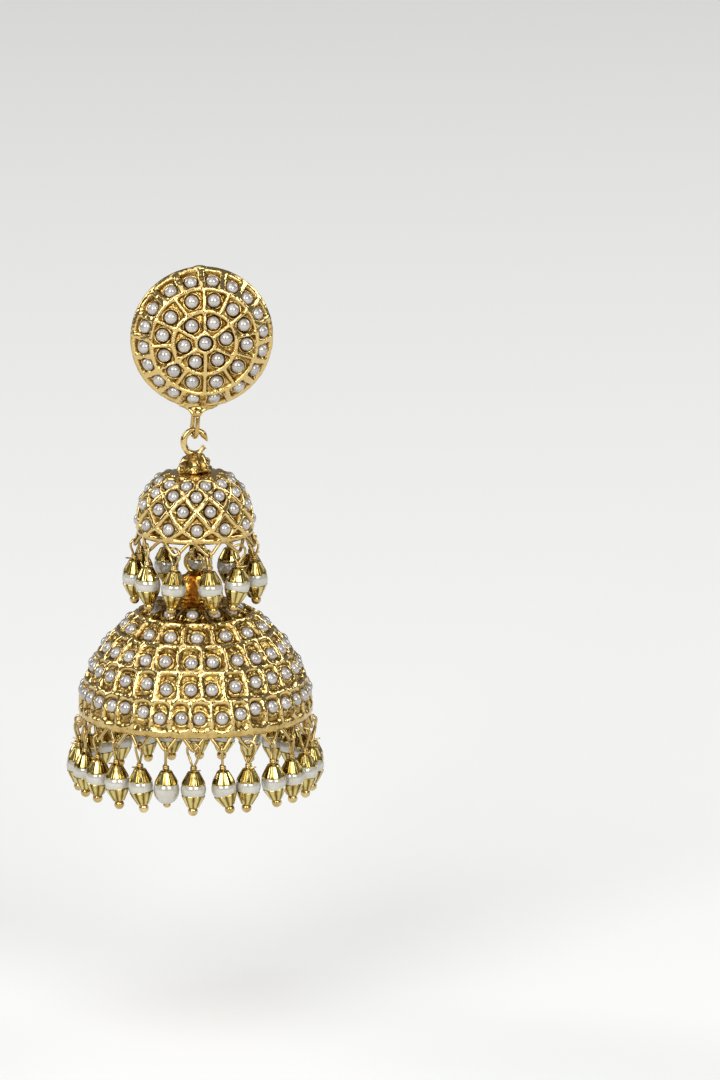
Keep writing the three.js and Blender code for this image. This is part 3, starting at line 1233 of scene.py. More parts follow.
    def seed_matrices(self, frame: Matrix) -> list[Matrix]:
        """Where the seed pearls sit.

        Args:
            frame: The dome's place.

        Returns:
            A place, turn and size for each.
        """
        size = scaled(self.seed_size, self.seed_size, self.seed_size * self.SEED_HEIGHT)
        made = []
        for place, outward in zip(self.seeds.places, self.seeds.outward):
            turn = outward.to_track_quat("Z", "Y").to_matrix().to_4x4()
            spot = Matrix.Translation(place - outward * self.seed_sunk)
            made.append(frame @ spot @ turn @ size)
        return made


@dataclass
class BrickDome(Dome):
    """A dome with rows of cells between radial walls, like brickwork."""

    rows: Sequence[CellRow] = ()
    crown_cell: float = 0.0
    rounding: float = 0.4

    FRONT_TURN = 0.13
    SAG_LEVEL = 0.4
    SCATTER = 0.004

    def __post_init__(self) -> None:
        """Places the seeds of every row."""
        dice = np.random.default_rng(self.number)
        self.laid: list[tuple[CellRow, np.ndarray]] = []
        if self.crown_cell:
            self.add_seed(0.0, 0.0)
        for row in self.rows:
            turns = row.seed_turns(dice)
            self.laid.append((row, row.wall_turns(turns)))
            for turn in turns:
                front = step(-math.sin(turn + self.FRONT_TURN), 0.88, 0.95)
                sag = row.front_sag * (front - self.SAG_LEVEL)
                self.add_seed(turn, row.seed + sag + dice.uniform(-self.SCATTER, self.SCATTER))

    def inside_cells(
        self, turn: np.ndarray, along: np.ndarray, radius: np.ndarray
    ) -> np.ndarray:
        """See Dome."""
        inside = np.full(turn.shape, -self.FAR)
        if self.crown_cell:
            inside = np.maximum(inside, self.crown_cell - along)
        length = self.outline.length
        for row, walls in self.laid:
            after = np.clip(np.searchsorted(walls, turn), 1, len(walls) - 1)
            aside = np.minimum(turn - walls[after - 1], walls[after] - turn) * radius - row.ridge
            across = np.minimum(along - row.top * length, row.foot * length - along)
            inside = np.maximum(inside, soft_least(aside, across, self.rounding))
        return inside


@dataclass
class LatticeDome(Dome):
    """A dome whose ridges cross in a diamond lattice, with a seed in each diamond."""

    levels: Sequence[float] = ()
    around: int = 12
    turn: float = 0.0
    ridge: float = 0.32
    rounding: float = 0.3

    def __post_init__(self) -> None:
        """Places the seeds on the inner levels."""
        for level in range(1, len(self.levels) - 1):
            for i in range(self.around):
                stagger = ((level - 1) % 2) / 2
                turn = math.radians(self.turn) + (i + stagger) * TAU / self.around
                self.add_seed(turn, self.levels[level])

    def inside_cells(
        self, turn: np.ndarray, along: np.ndarray, radius: np.ndarray
    ) -> np.ndarray:
        """See Dome."""
        inside = np.full(turn.shape, -self.FAR)
        pitch = TAU / self.around
        run = pitch * radius
        heights = [level * self.outline.length for level in self.levels]
        frame = np.minimum(along - heights[0], heights[-1] - along)
        for level, (top, foot) in enumerate(zip(heights, heights[1:])):
            share = (along - top) / (foot - top)
            place = (turn - math.radians(self.turn)) / pitch - (level % 2) / 2
            left = np.abs((place - share / 2 + 0.5) % 1 - 0.5)
            right = np.abs((place + share / 2 + 0.5) % 1 - 0.5)
            tilt = (foot - top) / np.hypot(foot - top, run / 2)
            gap = np.minimum(left, right) * run * tilt - self.ridge
            inside = np.where((along >= top) & (along < foot), gap, inside)
        outside = inside <= -self.FAR
        return soft_least(np.where(outside, frame, inside), frame, self.rounding)


class Workshop:
    """The earring's finishes and Geometry Nodes trees, and the pieces that they make."""

    def __init__(self) -> None:
        """Makes each finish and each tree once."""
        self.finishes = Finishes()
        self.bead_grower = BeadGrower()
        self.wire_grower = WireGrower()
        self.cap_grower = CapGrower()

    def wires(
        self, name: str, body: Body, strands: Sequence[Strand], radius: float, sides: int
    ) -> None:
        """Makes a piece of round wire.

        Args:
            name: The piece's name.
            body: The body that it rides on.
            strands: The wires' paths.
            radius: The wire's radius in millimetres.
            sides: How many sides the wire has.
        """
        values = {"Wire radius": radius * MM, "Sides": sides}
        values["Finish"] = self.finishes.by_slot[Slot.WIRE]
        made = self.wire_grower.grow(name, strands_object(strands), values)
        settle(made, body)

    def beads(
        self, name: str, body: Body, slot: Slot, places: Sequence[Matrix], sides: tuple[int, int]
    ) -> None:
        """Makes a piece of round beads.

        Args:
            name: The piece's name.
            body: The body that it rides on.
            slot: The slot that it takes its finish from.
            places: Where each bead sits.
            sides: A bead's segments and rings.
        """
        values = {"Segments": sides[0], "Rings": sides[1], "Finish": self.finishes.by_slot[slot]}
        settle(self.bead_grower.grow(name, points_object(places), values), body)

    def caps(
        self, name: str, body: Body, nodes: Iterable[str], places: Sequence[Matrix]
    ) -> None:
        """Makes a piece of fluted bead caps.

        Args:
            name: The piece's name.
            body: The body that it rides on.
            nodes: The CAD nodes that it stands for.
            places: Where each cap sits.
        """
        values = {"Flutes": 10, "Flute depth": 0.065, "Columns": 81, "Rows": 11}
        values["Finish"] = self.finishes.by_slot[Slot.CAPS]
        made = self.cap_grower.grow(name, points_object(places), values)
        settle(made, body, nodes)

    def dome(
        self,
        stem: str,
        body: Body,
        node: str,
        dome: Dome,
        inner: Profile,
        frame: Matrix,
        ball: tuple[int, int],
    ) -> None:
        """Makes a dome's shell and the seed pearls in its cells.

        Args:
            stem: How the pieces' names start.
            body: The body that they ride on.
            node: The CAD node that the shell stands for.
            dome: The dome.
            inner: The rings that close it.
            frame: Its place.
            ball: A seed pearl's segments and rings.
        """
        points, faces, relief = dome.solid(inner)
        shell = mesh_object(f"{stem}_shell", placed(points, frame), faces)
        store(shell, "relief", "FLOAT", relief)
        settle(smooth(shell, self.finishes.by_slot[Slot.PLATE]), body, [node])
        self.beads(f"{stem}_seed_pearls", body, Slot.SEEDS, dome.seed_matrices(frame), ball)


# Wires


def arc(radius: float, first: float, last: float, steps: int) -> list[Vector]:
    """Points on a circle in the XZ plane.

    Args:
        radius: Its radius.
        first: The first angle in degrees.
        last: The last angle.
        steps: How many steps lie between them.

    Returns:
        The points.
    """
    turns = (math.radians(first + (last - first) * k / steps) for k in range(steps + 1))
    return [Vector((radius * math.cos(turn), 0, radius * math.sin(turn))) for turn in turns]


def ring(radius: float, steps: int = 28) -> Strand:
    """A closed ring in the XZ plane.

    Args:
        radius: Its radius.
        steps: Its corners.

    Returns:
        The strand.
    """
    return Strand(arc(radius, 0, 360 * (steps - 1) / steps, steps - 1), closed=True)


def coil(
    radius: float, first: float, turns: float, foot: float, climb: float, steps: int
) -> list[Vector]:
    """Points on a coil about +Z.

    Args:
        radius: Its radius.
        first: The first angle in radians.
        turns: How many turns it has.
        foot: The height of its first point.
        climb: How much higher its last point is.
        steps: How many steps it has.

    Returns:
        The points.
    """
    made = []
    for k in range(steps + 1):
        made.append(polar(radius, first + turns * TAU * k / steps, foot + climb * k / steps))
    return made


@dataclass
class Fringe:
    """The rim loops of a bell and the drops that hang in them, in millimetres and degrees."""

    prefix: str
    body: Body
    count: int
    turn: float
    wire: float
    round: float
    drop: float
    lean: float
    inset: float
    pin_leg: float
    rim_radius: float
    rim_z: float
    number: int
    sway: float = 2.0
    pin_wire: float = 0.2
    pearl: float = 2.07
    upper_cap: float = 2.1
    band: float = 1.7
    lower_cap: float = 2.15
    cap_radius: float = 1.97
    ball: float = 0.8
    # Drops without a lower cap, drops whose pin loops face out, and for some drops the index,
    # the lean and the crook of the lower cap
    bare: Sequence[int] = ()
    facing: Sequence[int] = ()
    tilts: tuple[tuple[int, float, float], ...] = ()

    LOOP_STEPS = 18
    LOOP_SOLDER = 0.3
    LOOP_POINT = 0.85
    PIN_PLAY = 0.52
    FACING_SIZE = 1.45
    FACING_SPIN = 1.1
    WRAP_FIRST = math.radians(60)
    WRAP_TURNS = 2.2

    def turns(self) -> list[float]:
        """The turn of each drop in radians."""
        return [math.radians(self.turn + 360 * i / self.count) for i in range(self.count)]

    def under_rim(self, depth: float) -> tuple[float, float]:
        """A point down the leaning rim loops.

        Args:
            depth: How far down it is.

        Returns:
            Its radius and height.
        """
        lean = math.radians(self.lean)
        radius = self.rim_radius - self.inset + depth * math.sin(lean)
        return radius, self.rim_z - depth * math.cos(lean)

    def hang_frames(self) -> list[Matrix]:
        """The frame of each drop, from the rim loop's wire, with its own small lean."""
        dice = np.random.default_rng(self.number)
        radius, height = self.under_rim(self.drop + self.round)
        leans = {index: math.radians(lean) for index, lean, _ in self.tilts}
        made = []
        for i, turn in enumerate(self.turns()):
            aside, out = (math.radians(angle) for angle in dice.uniform(-self.sway, self.sway, 2))
            place = Matrix.Translation(polar(radius, turn, height, HANG_X, HANG_Y))
            lean = Euler((0.5 * out, leans.get(i, aside), 0)).to_matrix().to_4x4()
            made.append(place @ (Matrix.Rotation(turn + math.pi / 2, 4, "Z") @ lean))
        return made

    def loops(self) -> Strand:
        """The wire under the rim: a wave that dips at each drop and is soldered on in between."""
        reach = self.drop + self.round
        path = []
        for turn in self.turns():
            for k in range(self.LOOP_STEPS):
                share = (1 - math.cos(TAU * k / self.LOOP_STEPS)) / 2
                depth = reach - (reach + self.LOOP_SOLDER) * share**self.LOOP_POINT
                radius, height = self.under_rim(depth)
                around = turn + TAU / self.count * k / self.LOOP_STEPS
                path.append(polar(radius, around, height, HANG_X, HANG_Y))
        return Strand(path, closed=True)

    def pins(self) -> list[Strand]:
        """The looped head pins, each wrapped round its neck with the cut end sticking out."""
        dice = np.random.default_rng(self.number + 50)
        neck = -self.pin_leg + 0.55
        flick = self.WRAP_FIRST + self.WRAP_TURNS * TAU
        made = []
        for i, frame in enumerate(self.hang_frames()):
            size = (self.wire + self.PIN_PLAY) * (self.FACING_SIZE if i in self.facing else 1.0)
            spots = [(0, 0, -self.pin_leg - 0.4), (0.02, 0, neck), (-0.16, 0, neck + 0.3)]
            spots += [(-size * 0.62, 0, neck * 0.45), (-size * 0.93, 0, neck * 0.16)]
            path = [Vector(spot) for spot in spots] + arc(size, 172, 8, 14)
            spots = [(size * 0.93, 0, neck * 0.16), (size * 0.62, 0, neck * 0.45)]
            path += [Vector(spot) for spot in (*spots, (0.2, 0.1, neck + 0.32))]
            path += coil(0.38, self.WRAP_FIRST, self.WRAP_TURNS, neck + 0.22, -0.62, 17)
            tail = 0.55 + dice.uniform(0, 0.35)
            path.append(polar(0.7, flick, path[-1].z + 0.05, x=-0.2))
            path.append(path[-1] + polar(1.0, flick + 0.9, 0.25) * tail)
            thickness = [1.0] * (len(path) - 2) + [0.8, 0.45]
            spin = self.FACING_SPIN if i in self.facing else dice.uniform(-0.5, 0.5)
            turned = frame @ Matrix.Rotation(math.pi / 2 + spin, 4, "Z")
            made.append(Strand(path, thickness).moved(turned))
        return made

    def beads(self) -> tuple[list[Matrix], list[Matrix], list[Matrix]]:
        """Where the caps, pearls and end balls sit.

        Returns:
            The places of the caps, the pearls and the balls.
        """
        dice = np.random.default_rng(self.number + 90)
        caps, pearls, balls = [], [], []
        band_top = -self.pin_leg - self.upper_cap
        band_foot = band_top - self.band
        tip = band_foot - self.lower_cap
        middle = (band_top + band_foot) / 2
        crooks = {index: math.radians(crook) for index, _, crook in self.tilts}
        flip = Matrix.Rotation(math.pi, 4, "X")
        upper = scaled(self.cap_radius, self.cap_radius, self.upper_cap)
        lower = scaled(self.cap_radius, self.cap_radius, self.lower_cap)
        for i, frame in enumerate(self.hang_frames()):
            low = frame @ lifted(middle) @ Matrix.Rotation(crooks.get(i, 0), 4, "Y")
            low = low @ lifted(-middle)
            spin, spin_low = (Matrix.Rotation(dice.uniform(0, TAU), 4, "Z") for _ in range(2))
            pearl = self.pearl * dice.uniform(0.97, 1.0)
            caps.append(frame @ lifted(band_top) @ spin @ upper)
            if i in self.bare:
                size = scaled(self.pearl * 1.01, self.pearl * 1.01, self.pearl * 1.12)
                pearls.append(frame @ lifted(middle - 0.25) @ size)
                balls.append(frame @ lifted(tip + 0.35) @ scaled(0.62, 0.62, 0.5))
                continue
            caps.append(low @ lifted(band_foot) @ flip @ spin_low @ lower)
            pearls.append(frame @ lifted(middle) @ Matrix.Scale(pearl, 4))
            balls.append(low @ lifted(tip - 0.55) @ Matrix.Scale(self.ball, 4))
        return caps, pearls, balls

    def build(self, shop: Workshop) -> None:
        """Makes the loops, pins and beads of the fringe.

        Args:
            shop: The earring's finishes and trees.
        """
        caps, pearls, balls = self.beads()
        nodes = [f"{self.prefix}_drop_{i + 1:02d}" for i in range(self.count)]
        shop.wires(f"{self.prefix}_rim_loops", self.body, [self.loops()], self.wire, 10)
        shop.wires(f"{self.prefix}_drop_pins", self.body, self.pins(), self.pin_wire, 8)
        shop.caps(f"{self.prefix}_drop_caps", self.body, nodes, caps)
        shop.beads(f"{self.prefix}_drop_pearls", self.body, Slot.DROPS, pearls, (28, 16))
        shop.beads(f"{self.prefix}_drop_balls", self.body, Slot.WIRE, balls, (16, 10))


# Sub-assemblies


@dataclass
class Stud:
    """The pearl-set stud with its ear post and the loop that the bells hang in."""

    radius: float = 11.45
    dome: float = 6.1
    rim_edge: float = 0.5
    back_inset: float = 0.2
    post_radius: float = 0.45
    post_length: float = 11.0
    loop_wire: float = 0.36
    loop_reach: float = 3.55
    loop_round: float = 1.13
    loop_turn: float = 14.0
    loop_forward: float = 1.55
    seat_height: float = 2.6
    seat_drop: float = 1.0

    OUTLINE = (
        (0, 0), (0.14, 0.017), (0.445, 0.125), (0.76, 0.357), (0.908, 0.679),
        (0.987, 0.928), (1, 1),
    )
    ROWS = (
        CellRow(
            6, 0.128, 0.26, 0.365,
            turns=(67.3, 10, -54, -117, -172, -232),
            walls=(90, 35, -27, -90, -148, -208),
        ),
        CellRow(
            12, 0.402, 0.519, 0.64,
            turns=(77, 48, 22, -5, -38, -74, -107, -137, -162, -190, -217, -253),
            walls=(90, 62, 35, 8, -20, -56, -90, -123, -148, -176, -205, -237),
        ),
        CellRow(
            18, 0.675, 0.778, 0.93, ridge=0.45,
            turns=(
                81, 61, 43, 25, 7, -12, -32, -54, -80,
                -100, -120, -138, -157, -174, -194, -213, -237, -258,
            ),
        ),
    )

    def frame(self) -> Matrix:
        """The dome's frame, which turns its crown to the front."""
        return Matrix.Rotation(math.pi / 2, 4, "X") @ lifted(self.dome)

    def loop_frame(self) -> Matrix:
        """The frame of what hangs under the stud, rolled a little to the left."""
        forward = Matrix.Translation((0, -self.loop_forward, 0))
        return forward @ Matrix.Rotation(STUD_ROLL, 4, "Y")

    def build(self, shop: Workshop) -> None:
        """Makes the stud's pieces.

        Args:
            shop: The earring's finishes and trees.
        """
        dome = BrickDome(
            Outline(self.OUTLINE, self.radius, self.dome - self.rim_edge),
            rings=150, sides=420, number=3, rows=self.ROWS, crown_cell=1.36,
            grain=0.13, ridge_grain=0.45, pit_tone=0.4, slope=0.26, collar=0.26,
            seed_size=1.06, seed_sunk=0.38, cup=1.26,
        )
        back = self.radius - self.back_inset
        closing = [(self.radius, -self.dome + 0.3)]
        closing += [(radius, -self.dome) for radius in (back, back * 0.6, 2.0)]
        shop.dome("stud", Body.STUD, "stud", dome, closing, self.frame(), (24, 14))
        self.build_seat(shop)
        self.build_loop(shop)
        self.build_post(shop)

    def build_seat(self, shop: Workshop) -> None:
        """Makes the loop's solder seat with the ball on it, and the small peak on the stud's top.

        Args:
            shop: The earring's finishes and trees.
        """
        frame = self.loop_frame()
        foot = -self.radius - self.seat_drop
        top = foot + self.seat_height
        outline = [
            (0.0, foot - 0.5), (0.5, foot - 0.45), (0.8, foot - 0.2), (0.95, foot + 0.1),
            (1.3, foot + 0.45), (1.9, foot + 0.75), (2.6, foot + 1.0), (3.3, foot + 1.35),
            (2.8, foot + 2.2), (1.6, top + 0.6), (0.0, top + 0.8),
        ]
        form = Turned(outline, sides=36, lobes=3, lobe_depth=0.05, rough=0.16, rough_size=0.9)
        points, faces = form.mesh()
        # The seat thins and leans back as it rises, and stays in front of the stud's back
        rise = np.clip((points[:, 2] - foot) / 1.1, 0, 1)
        points[:, 1] = points[:, 1] * (0.5 - 0.28 * rise) + 0.85 * rise
        points = placed(points, frame)
        points[:, 1] = np.minimum(points[:, 1], -0.06)
        seat = mesh_object("stud_seat", points, faces)
        settle(smooth(seat, shop.finishes.by_slot[Slot.WIRE]), Body.STUD)
        ball = Matrix.Translation((0.16, -1.25, foot + 0.5)) @ scaled(0.68, 0.7, 0.66)
        peak = Matrix.Translation((-0.3, -0.7, self.radius - 0.5)) @ scaled(1.5, 0.62, 0.78)
        shop.beads("stud_solder", Body.STUD, Slot.WIRE, [frame @ ball, peak], (18, 12))

    def build_loop(self, shop: Workshop) -> None:
        """Makes the loop, whose front leg ends under the solder ball.

        Args:
            shop: The earring's finishes and trees.
        """
        leg = self.loop_reach + self.seat_height - self.seat_drop
        size = self.loop_round
        front = [(0.1, 0, leg * 0.64), (-size * 0.75, 0, leg * 0.6), (-size * 0.92, 0, leg * 0.4)]
        back = [(size * 0.92, 0, leg * 0.5), (size * 0.8, 0, leg)]
        path = [Vector(spot) for spot in front] + arc(size, 180, 360, 18)
        path += [Vector(spot) for spot in back]
        turn = Matrix.Rotation(math.pi / 2 + math.radians(self.loop_turn), 4, "Z")
        hinge = self.loop_frame() @ lifted(-self.radius - self.loop_reach) @ turn
        shop.wires("stud_loop", Body.STUD, [Strand(path).moved(hinge)], self.loop_wire, 14)

    def build_post(self, shop: Workshop) -> None:
        """Makes the ear post, with a solder fillet and a friction groove.

        Args:
            shop: The earring's finishes and trees.
        """
        r, end = self.post_radius, self.post_length
        outline = [
            (0.0, -0.3), (1.3, -0.3), (1.15, 0.12), (0.7, 0.4), (r, 0.9), (r, end * 0.5),
            (r, end - 2.4), (r * 0.8, end - 2.2), (r * 0.8, end - 1.9), (r, end - 1.7),
            (r, end - 0.5), (r * 0.75, end - 0.12), (r * 0.3, end), (0.0, end),
        ]
        points, faces = Turned(outline, sides=24).mesh()
        points = placed(points, Matrix.Rotation(-math.pi / 2, 4, "X"))
        post = mesh_object("ear_post", points, faces)
        settle(smooth(post, shop.finishes.by_slot[Slot.WIRE]), Body.STUD)


@dataclass
class LeafyCap:
    """A small flared crown of metal leaves on a bell."""

    top_z: float
    height: float
    top_radius: float
    foot_radius: float
    leaves: int
    leaf_depth: float
    rough: float
    turn: float = 0.0
    tone: float = 0.55

    LEAF_TONE = 0.35
    ROUGH_SIZE = 0.8

    def build(self, name: str, body: Body, finish: bpy.types.Material) -> None:
        """Makes the cap.

        Args:
            name: The piece's name.
            body: The body that it rides on.
            finish: Its material.
        """
        low, high, tall = self.foot_radius, self.top_radius, self.height
        outline = [
            (0.0, -tall - 0.3), (low * 0.8, -tall - 0.3), (low * 1.0, -tall - 0.1),
            (low * 1.04, -tall + 0.14), (low * 1.0, -tall + 0.36), (low * 0.88, -tall + 0.48),
            (low * 0.9, -tall * 0.72), (low * 0.88, -tall * 0.58), (low * 0.8, -tall * 0.42),
            (low * 0.68, -tall * 0.28), (high * 1.02, -tall * 0.15), (high * 0.75, -tall * 0.04),
            (high * 0.5, 0.1), (0.0, 0.15),
        ]
        form = Turned(
            outline, sides=72, lobes=self.leaves, lobe_depth=self.leaf_depth,
            lobe_turn=self.turn, lobe_ease=self.leaf_share, rough=self.rough,
            rough_size=self.ROUGH_SIZE,
        )
        points, faces = form.mesh()
        made = mesh_object(name, placed(points, hung(self.top_z)), faces)
        wave = np.cos(self.leaves * (np.arctan2(points[:, 1], points[:, 0]) - self.turn))
        store(made, "relief", "FLOAT", np.clip(self.tone + self.LEAF_TONE * wave, 0, 1))
        settle(smooth(made, finish), body)

    @staticmethod
    def leaf_share(share: float) -> float:
        """How strongly the leaves show at a share of the outline from foot to top."""
        return max(0.0, math.sin(math.pi * min(1.0, share * 1.1)))


@dataclass
class SmallBell:
    """The small bell: its hook and leafy cap, the lattice dome, and the inner pin and ring."""

    radius: float = 9.45
    height: float = 10.1
    wall: float = 1.05
    hook_wire: float = 0.45
    hook_round: float = 1.75
    hook_gap: tuple[float, float] = (32.0, 290.0)
    hook_stretch: float = 1.13
    inner_wire: float = 0.4
    inner_round: float = 1.5
    inner_play: float = 0.3
    inner_turn: float = 60.0
    neck_wire: float = 0.4

    OUTLINE = (
        (0, 0), (0.275, 0.005), (0.53, 0.05), (0.646, 0.1), (0.852, 0.312), (0.963, 0.554),
        (1, 0.772), (0.968, 1),
    )
    LEVELS = (0.247, 0.382, 0.509, 0.67, 0.858, 0.955)
    LINING = (1, 0.9, 0.78, 0.64, 0.48, 0.32, 0.16)

    # The hook's flattened tip and its cut end, with the wire's thickness along them
    HOOK_LEAF = (0.2, 0.7, 1.1, 1.25, 1.2, 1.05, 0.95, 0.9)
    HOOK_END = ((0.86, 0, -1.45), (1.12, 0, -1.18), (1.42, 0, -0.8), (1.6, 0, -0.66))
    HOOK_CUT = (0.95, 0.8, 0.9, 1.0)

    def build(self, shop: Workshop) -> None:
        """Makes the small bell's pieces.

        Args:
            shop: The earring's finishes and trees.
        """
        dome = LatticeDome(
            Outline(self.OUTLINE, self.radius, self.height),
            rings=130, sides=380, number=5, levels=self.LEVELS, turn=-109.5,
            grain=0.14, ridge_grain=0.5, wander=0.18, pit_tone=0.56,
        )
        closing = dome.lining(self.wall, self.LINING)
        place = hung(SMALL_TOP_Z)
        shop.dome("small_bell", Body.UPPER, "upper_bell", dome, closing, place, (24, 14))
        centre = HOOK_HINGE_Z - self.hook_round
        crown = LeafyCap(
            centre - self.hook_round - 0.25, 2.75, 1.35, 2.75, 6,
            leaf_depth=0.08, rough=0.32, turn=-1.75,
        )
        crown.build("small_bell_cap", Body.UPPER, shop.finishes.by_slot[Slot.PLATE])
        self.build_hook(shop, centre)
        self.build_inner_ring(shop)

    def build_hook(self, shop: Workshop, centre: float) -> None:
        """Makes the open hook, with its tapered tip and its cut end.

        Args:
            shop: The earring's finishes and trees.
            centre: The height of its centre.
        """
        size = self.hook_round
        path = [Vector((size + 0.26, 0, 0.06)), Vector((size + 0.08, 0, 0.48))]
        path += arc(size, *self.hook_gap, 36) + [Vector(spot) for spot in self.HOOK_END]
        path = [Vector((p.x, p.y, size - (size - p.z) * self.hook_stretch)) for p in path]
        thickness = [0.9 + 0.32 * step(k / len(path), 0.2, 0.5) for k in range(len(path))]
        thickness[: len(self.HOOK_LEAF)] = self.HOOK_LEAF
        thickness[-len(self.HOOK_CUT) :] = self.HOOK_CUT
        hook = Strand(path, thickness).moved(hung(centre))
        shop.wires("small_bell_hook", Body.UPPER, [hook], self.hook_wire, 14)

    def build_inner_ring(self, shop: Workshop) -> None:
        """Makes the pin and ring inside the bell, which carry the large bell.

        Args:
            shop: The earring's finishes and trees.
        """
        # The large bell's neck ring hangs in this ring, with some play between their wires
        ring_z = INNER_HINGE_Z - self.inner_wire - self.inner_play - self.neck_wire
        ring_z += self.inner_round
        top, foot = SMALL_TOP_Z - 0.6, ring_z + self.inner_round
        pin = Strand([Vector((0, 0, top + (foot - top) * k / 12)) for k in range(13)])
        wrap = coil(0.62, 0.0, 3.2, foot + 0.25, 1.9, 39)
        turn = Matrix.Rotation(math.radians(self.inner_turn), 4, "Z")
        loop = ring(self.inner_round).moved(lifted(ring_z) @ turn)
        strands = [strand.moved(hung(0)) for strand in (pin, Strand(wrap, [0.6] * len(wrap)), loop)]
        shop.wires("inner_ring", Body.UPPER, strands, self.inner_wire, 12)


@dataclass
class LargeBell:
    """The large bell: its neck ring and leafy cap and the brickwork dome with seeds."""

    radius: float = 18.8
    height: float = 18.65
    wall: float = 1.05
    neck_wire: float = 0.4
    neck_round: float = 1.6
    neck_turn: float = -30.0

    OUTLINE = (
        (0, 0), (0.122, 0.004), (0.372, 0.044), (0.553, 0.145), (0.766, 0.359), (0.904, 0.579),
        (0.987, 0.804), (1, 0.933), (0.99, 1),
    )
    ROWS = (
        CellRow(12, 0.17, 0.238, 0.322, turn=-101, sway=1.8, ridge=0.24),
        CellRow(16, 0.335, 0.418, 0.471, turn=-93.5, sway=1.8, ridge=0.24),
        CellRow(24, 0.481, 0.575, 0.629, turn=-100, sway=1.5),
        CellRow(28, 0.639, 0.716, 0.789, turn=-100, sway=1.3, ridge=0.19, front_sag=0.02),
        CellRow(36, 0.801, 0.871, 0.957, turn=-94, sway=1.0, ridge=0.19, front_sag=0.03),
    )
    LINING = (1, 0.93, 0.85, 0.75, 0.64, 0.52, 0.4, 0.27, 0.14)

    def build(self, shop: Workshop) -> None:
        """Makes the large bell's pieces.

        Args:
            shop: The earring's finishes and trees.
        """
        # Its crown is darkened as painted shade, where it lies under the small bell and its drops.
        dome = BrickDome(
            Outline(self.OUTLINE, self.radius, self.height),
            rings=170, sides=540, number=7, rows=self.ROWS, rounding=0.9, slope=0.45,
            pit=0.38, grain=0.2, ridge_grain=0.5, wander=0.2, collar=0.26,
            seed_size=1.05, cup=1.24, crown_shade=0.5, pit_tone=0.47,
        )
        closing = dome.lining(self.wall, self.LINING)
        place = hung(LARGE_TOP_Z)
        shop.dome("large_bell", Body.LOWER, "lower_bell", dome, closing, place, (22, 13))
        # The neck cap takes a darker tone and the orange neck finish: painted shade, where it hangs
        # under the small bell.
        neck = LeafyCap(
            INNER_HINGE_Z - 2 * self.neck_round, 4.5, 1.95, 3.0, 5,
            leaf_depth=0.12, rough=0.5, tone=0.4,
        )
        neck.build("neck_cap", Body.LOWER, shop.finishes.neck)
        turn = Matrix.Rotation(math.radians(self.neck_turn), 4, "Z")
        loop = ring(self.neck_round).moved(hung(INNER_HINGE_Z - self.neck_round) @ turn)
        shop.wires("neck_ring", Body.LOWER, [loop], self.neck_wire, 12)


UPPER_FRINGE = Fringe(
    "upper", Body.UPPER, count=11, turn=-116, wire=0.28, round=0.85, drop=0.9, lean=20,
    inset=0.05, pin_leg=2.55, rim_radius=9.148, rim_z=-31.843, number=21, sway=2.5,
    facing=(0, 2, 10),
    tilts=((0, 2, 5), (1, -2, -6), (2, 2.5, 11), (3, -2, -5), (7, 1.5, 5), (10, -1.2, -2)),
)
LOWER_FRINGE = Fringe(
    "lower", Body.LOWER, count=26, turn=-97.5, wire=0.3, round=0.95, drop=1.0, lean=15,
    inset=0.3, pin_leg=3.35, rim_radius=18.612, rim_z=-61.393, number=22, bare=(25,),
    facing=(0, 2, 6, 21),
    tilts=(
        (0, 0.6, 1), (1, -2.6, -13), (2, 0.6, 4), (3, -3, -8), (4, -1.5, -2), (22, 1.5, 3),
        (23, -1.8, -5), (24, -2.2, -6), (25, -1, 0), (8, 1.5, 5), (12, -2, -5), (15, 2, 7),
        (18, -1, -4),
    ),
)


# The studio


def direction(azimuth: float, elevation: float) -> Vector:
    """The direction towards an azimuth and elevation in degrees; azimuth 0 is the front."""
    a, e = math.radians(azimuth), math.radians(elevation)
    return Vector((math.sin(a) * math.cos(e), -math.cos(a) * math.cos(e), math.sin(e)))


def stand(made: bpy.types.Object, target: Vector, back: Vector, distance: float) -> None:
    """Stands a lamp or camera off a target and turns it to it.

    Args:
        made: The lamp or camera.
        target: What it looks at, in metres.
        back: The direction from the target to it.
        distance: How far it stands, in millimetres.
    """
    made.location = target + back * distance * MM
    made.rotation_mode = "QUATERNION"
    made.rotation_quaternion = (-back).to_track_quat("-Z", "Y")


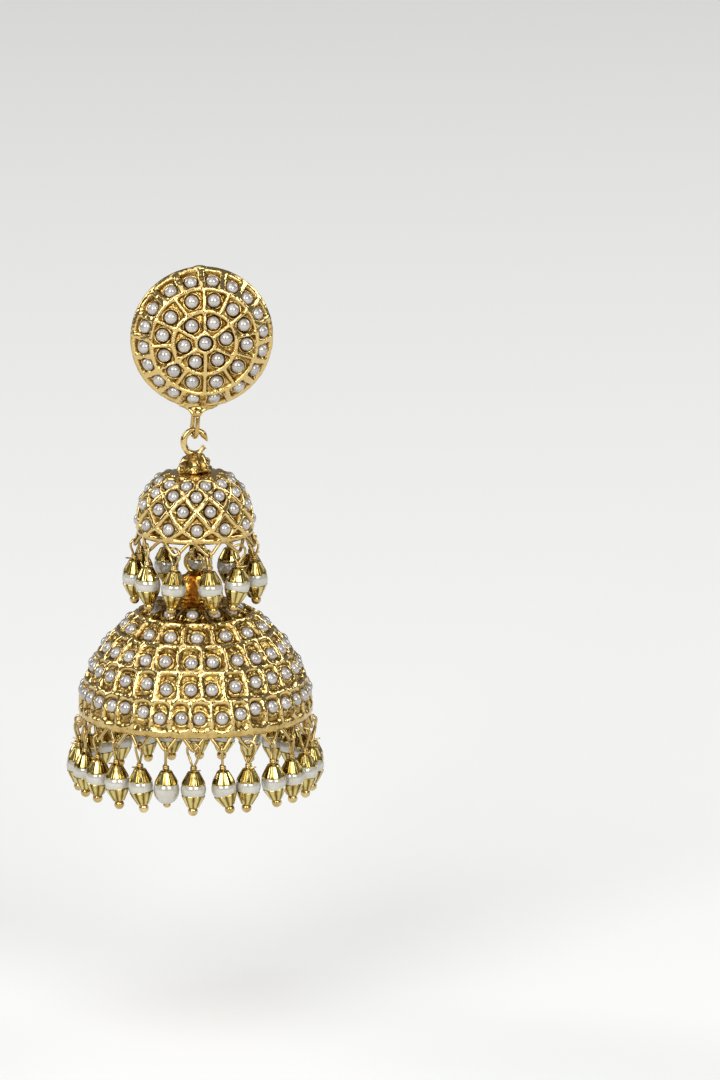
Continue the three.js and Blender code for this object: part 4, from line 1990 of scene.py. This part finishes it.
@dataclass
class Studio:
    """A pale floor, soft light and the photograph's camera."""

    azimuth: float = -7.5
    elevation: float = 12.5
    right: float = 25.4
    down: float = 32.6
    distance: float = 1500.0
    frame_height: float = 172.8
    sensor: float = 36.0
    floor_z: float = -112.0
    floor_half: float = 6000.0

    # Each soft box: its name, azimuth, elevation, width and power
    BOXES = (
        ("left_box", -35, 27, 800, 13.0),
        ("right_box", 20, 27, 800, 11.0),
        ("left_rim", -120, 30, 500, 6.0),
        ("right_rim", 110, 30, 500, 6.0),
    )
    BOX_HEIGHT = 900
    BOX_DISTANCE = 1600
    AIM = (0, 0, -35)

    def build(self) -> None:
        """Makes the floor, the lights and the camera."""
        self.build_floor()
        self.build_lights()
        self.build_camera()

    def build_floor(self) -> None:
        """Makes the floor."""
        half, z = self.floor_half, self.floor_z
        spots = [(-half, -half, z), (half, -half, z), (half, half, z), (-half, half, z)]
        floor = mesh_object("floor", np.array(spots), [(0, 1, 2, 3)])
        material, build, shader = new_material("floor_paper")
        paper = {"Base Color": (0.93, 0.93, 0.92, 1), "Roughness": 0.9, "Specular IOR Level": 0.0}
        build.feed(shader, paper)
        floor.data.materials.append(material)

    def build_lights(self) -> None:
        """Makes the soft boxes and the surrounding light."""
        target = Vector(self.AIM) * MM
        for name, azimuth, elevation, width, power in self.BOXES:
            box = bpy.data.lights.new(name, "AREA")
            box.shape = "RECTANGLE"
            box.size, box.size_y = width * MM, self.BOX_HEIGHT * MM
            box.energy = power
            stand(linked(name, box), target, direction(azimuth, elevation), self.BOX_DISTANCE)
        over = bpy.data.lights.new("overhead", "SUN")
        over.energy, over.angle = 0.75, math.radians(50)
        linked("overhead", over).rotation_euler = (math.radians(22), math.radians(-14), 0)
        world = bpy.data.worlds.new("studio")
        world.use_nodes = True
        sky = world.node_tree.nodes["Background"]
        sky.inputs["Color"].default_value = (1, 1, 1, 1)
        sky.inputs["Strength"].default_value = 0.2
        bpy.context.scene.world = world
        bpy.context.scene.view_settings.view_transform = "Standard"

    def build_camera(self) -> None:
        """Makes the camera, aimed so that the earring stands where it does in the photograph."""
        back = direction(self.azimuth, self.elevation)
        turn = math.radians(self.azimuth)
        right = Vector((math.cos(turn), math.sin(turn), 0))
        up = back.cross(right)
        lens = bpy.data.cameras.new("camera")
        lens.sensor_width = self.sensor
        lens.lens = self.sensor * self.distance / self.frame_height
        lens.clip_start, lens.clip_end = 0.05, 50.0
        camera = linked("camera", lens)
        stand(camera, (right * self.right - up * self.down) * MM, back, self.distance)
        bpy.context.scene.camera = camera


def main() -> None:
    """Builds the earring on its CAD frame."""
    logging.basicConfig(level=logging.INFO, format="%(name)s: %(message)s")
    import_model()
    Studio().build()
    shop = Workshop()
    Stud().build(shop)
    SmallBell().build(shop)
    UPPER_FRINGE.build(shop)
    LargeBell().build(shop)
    LOWER_FRINGE.build(shop)
    log.info("sizes written")


if __name__ == "__main__":
    main()
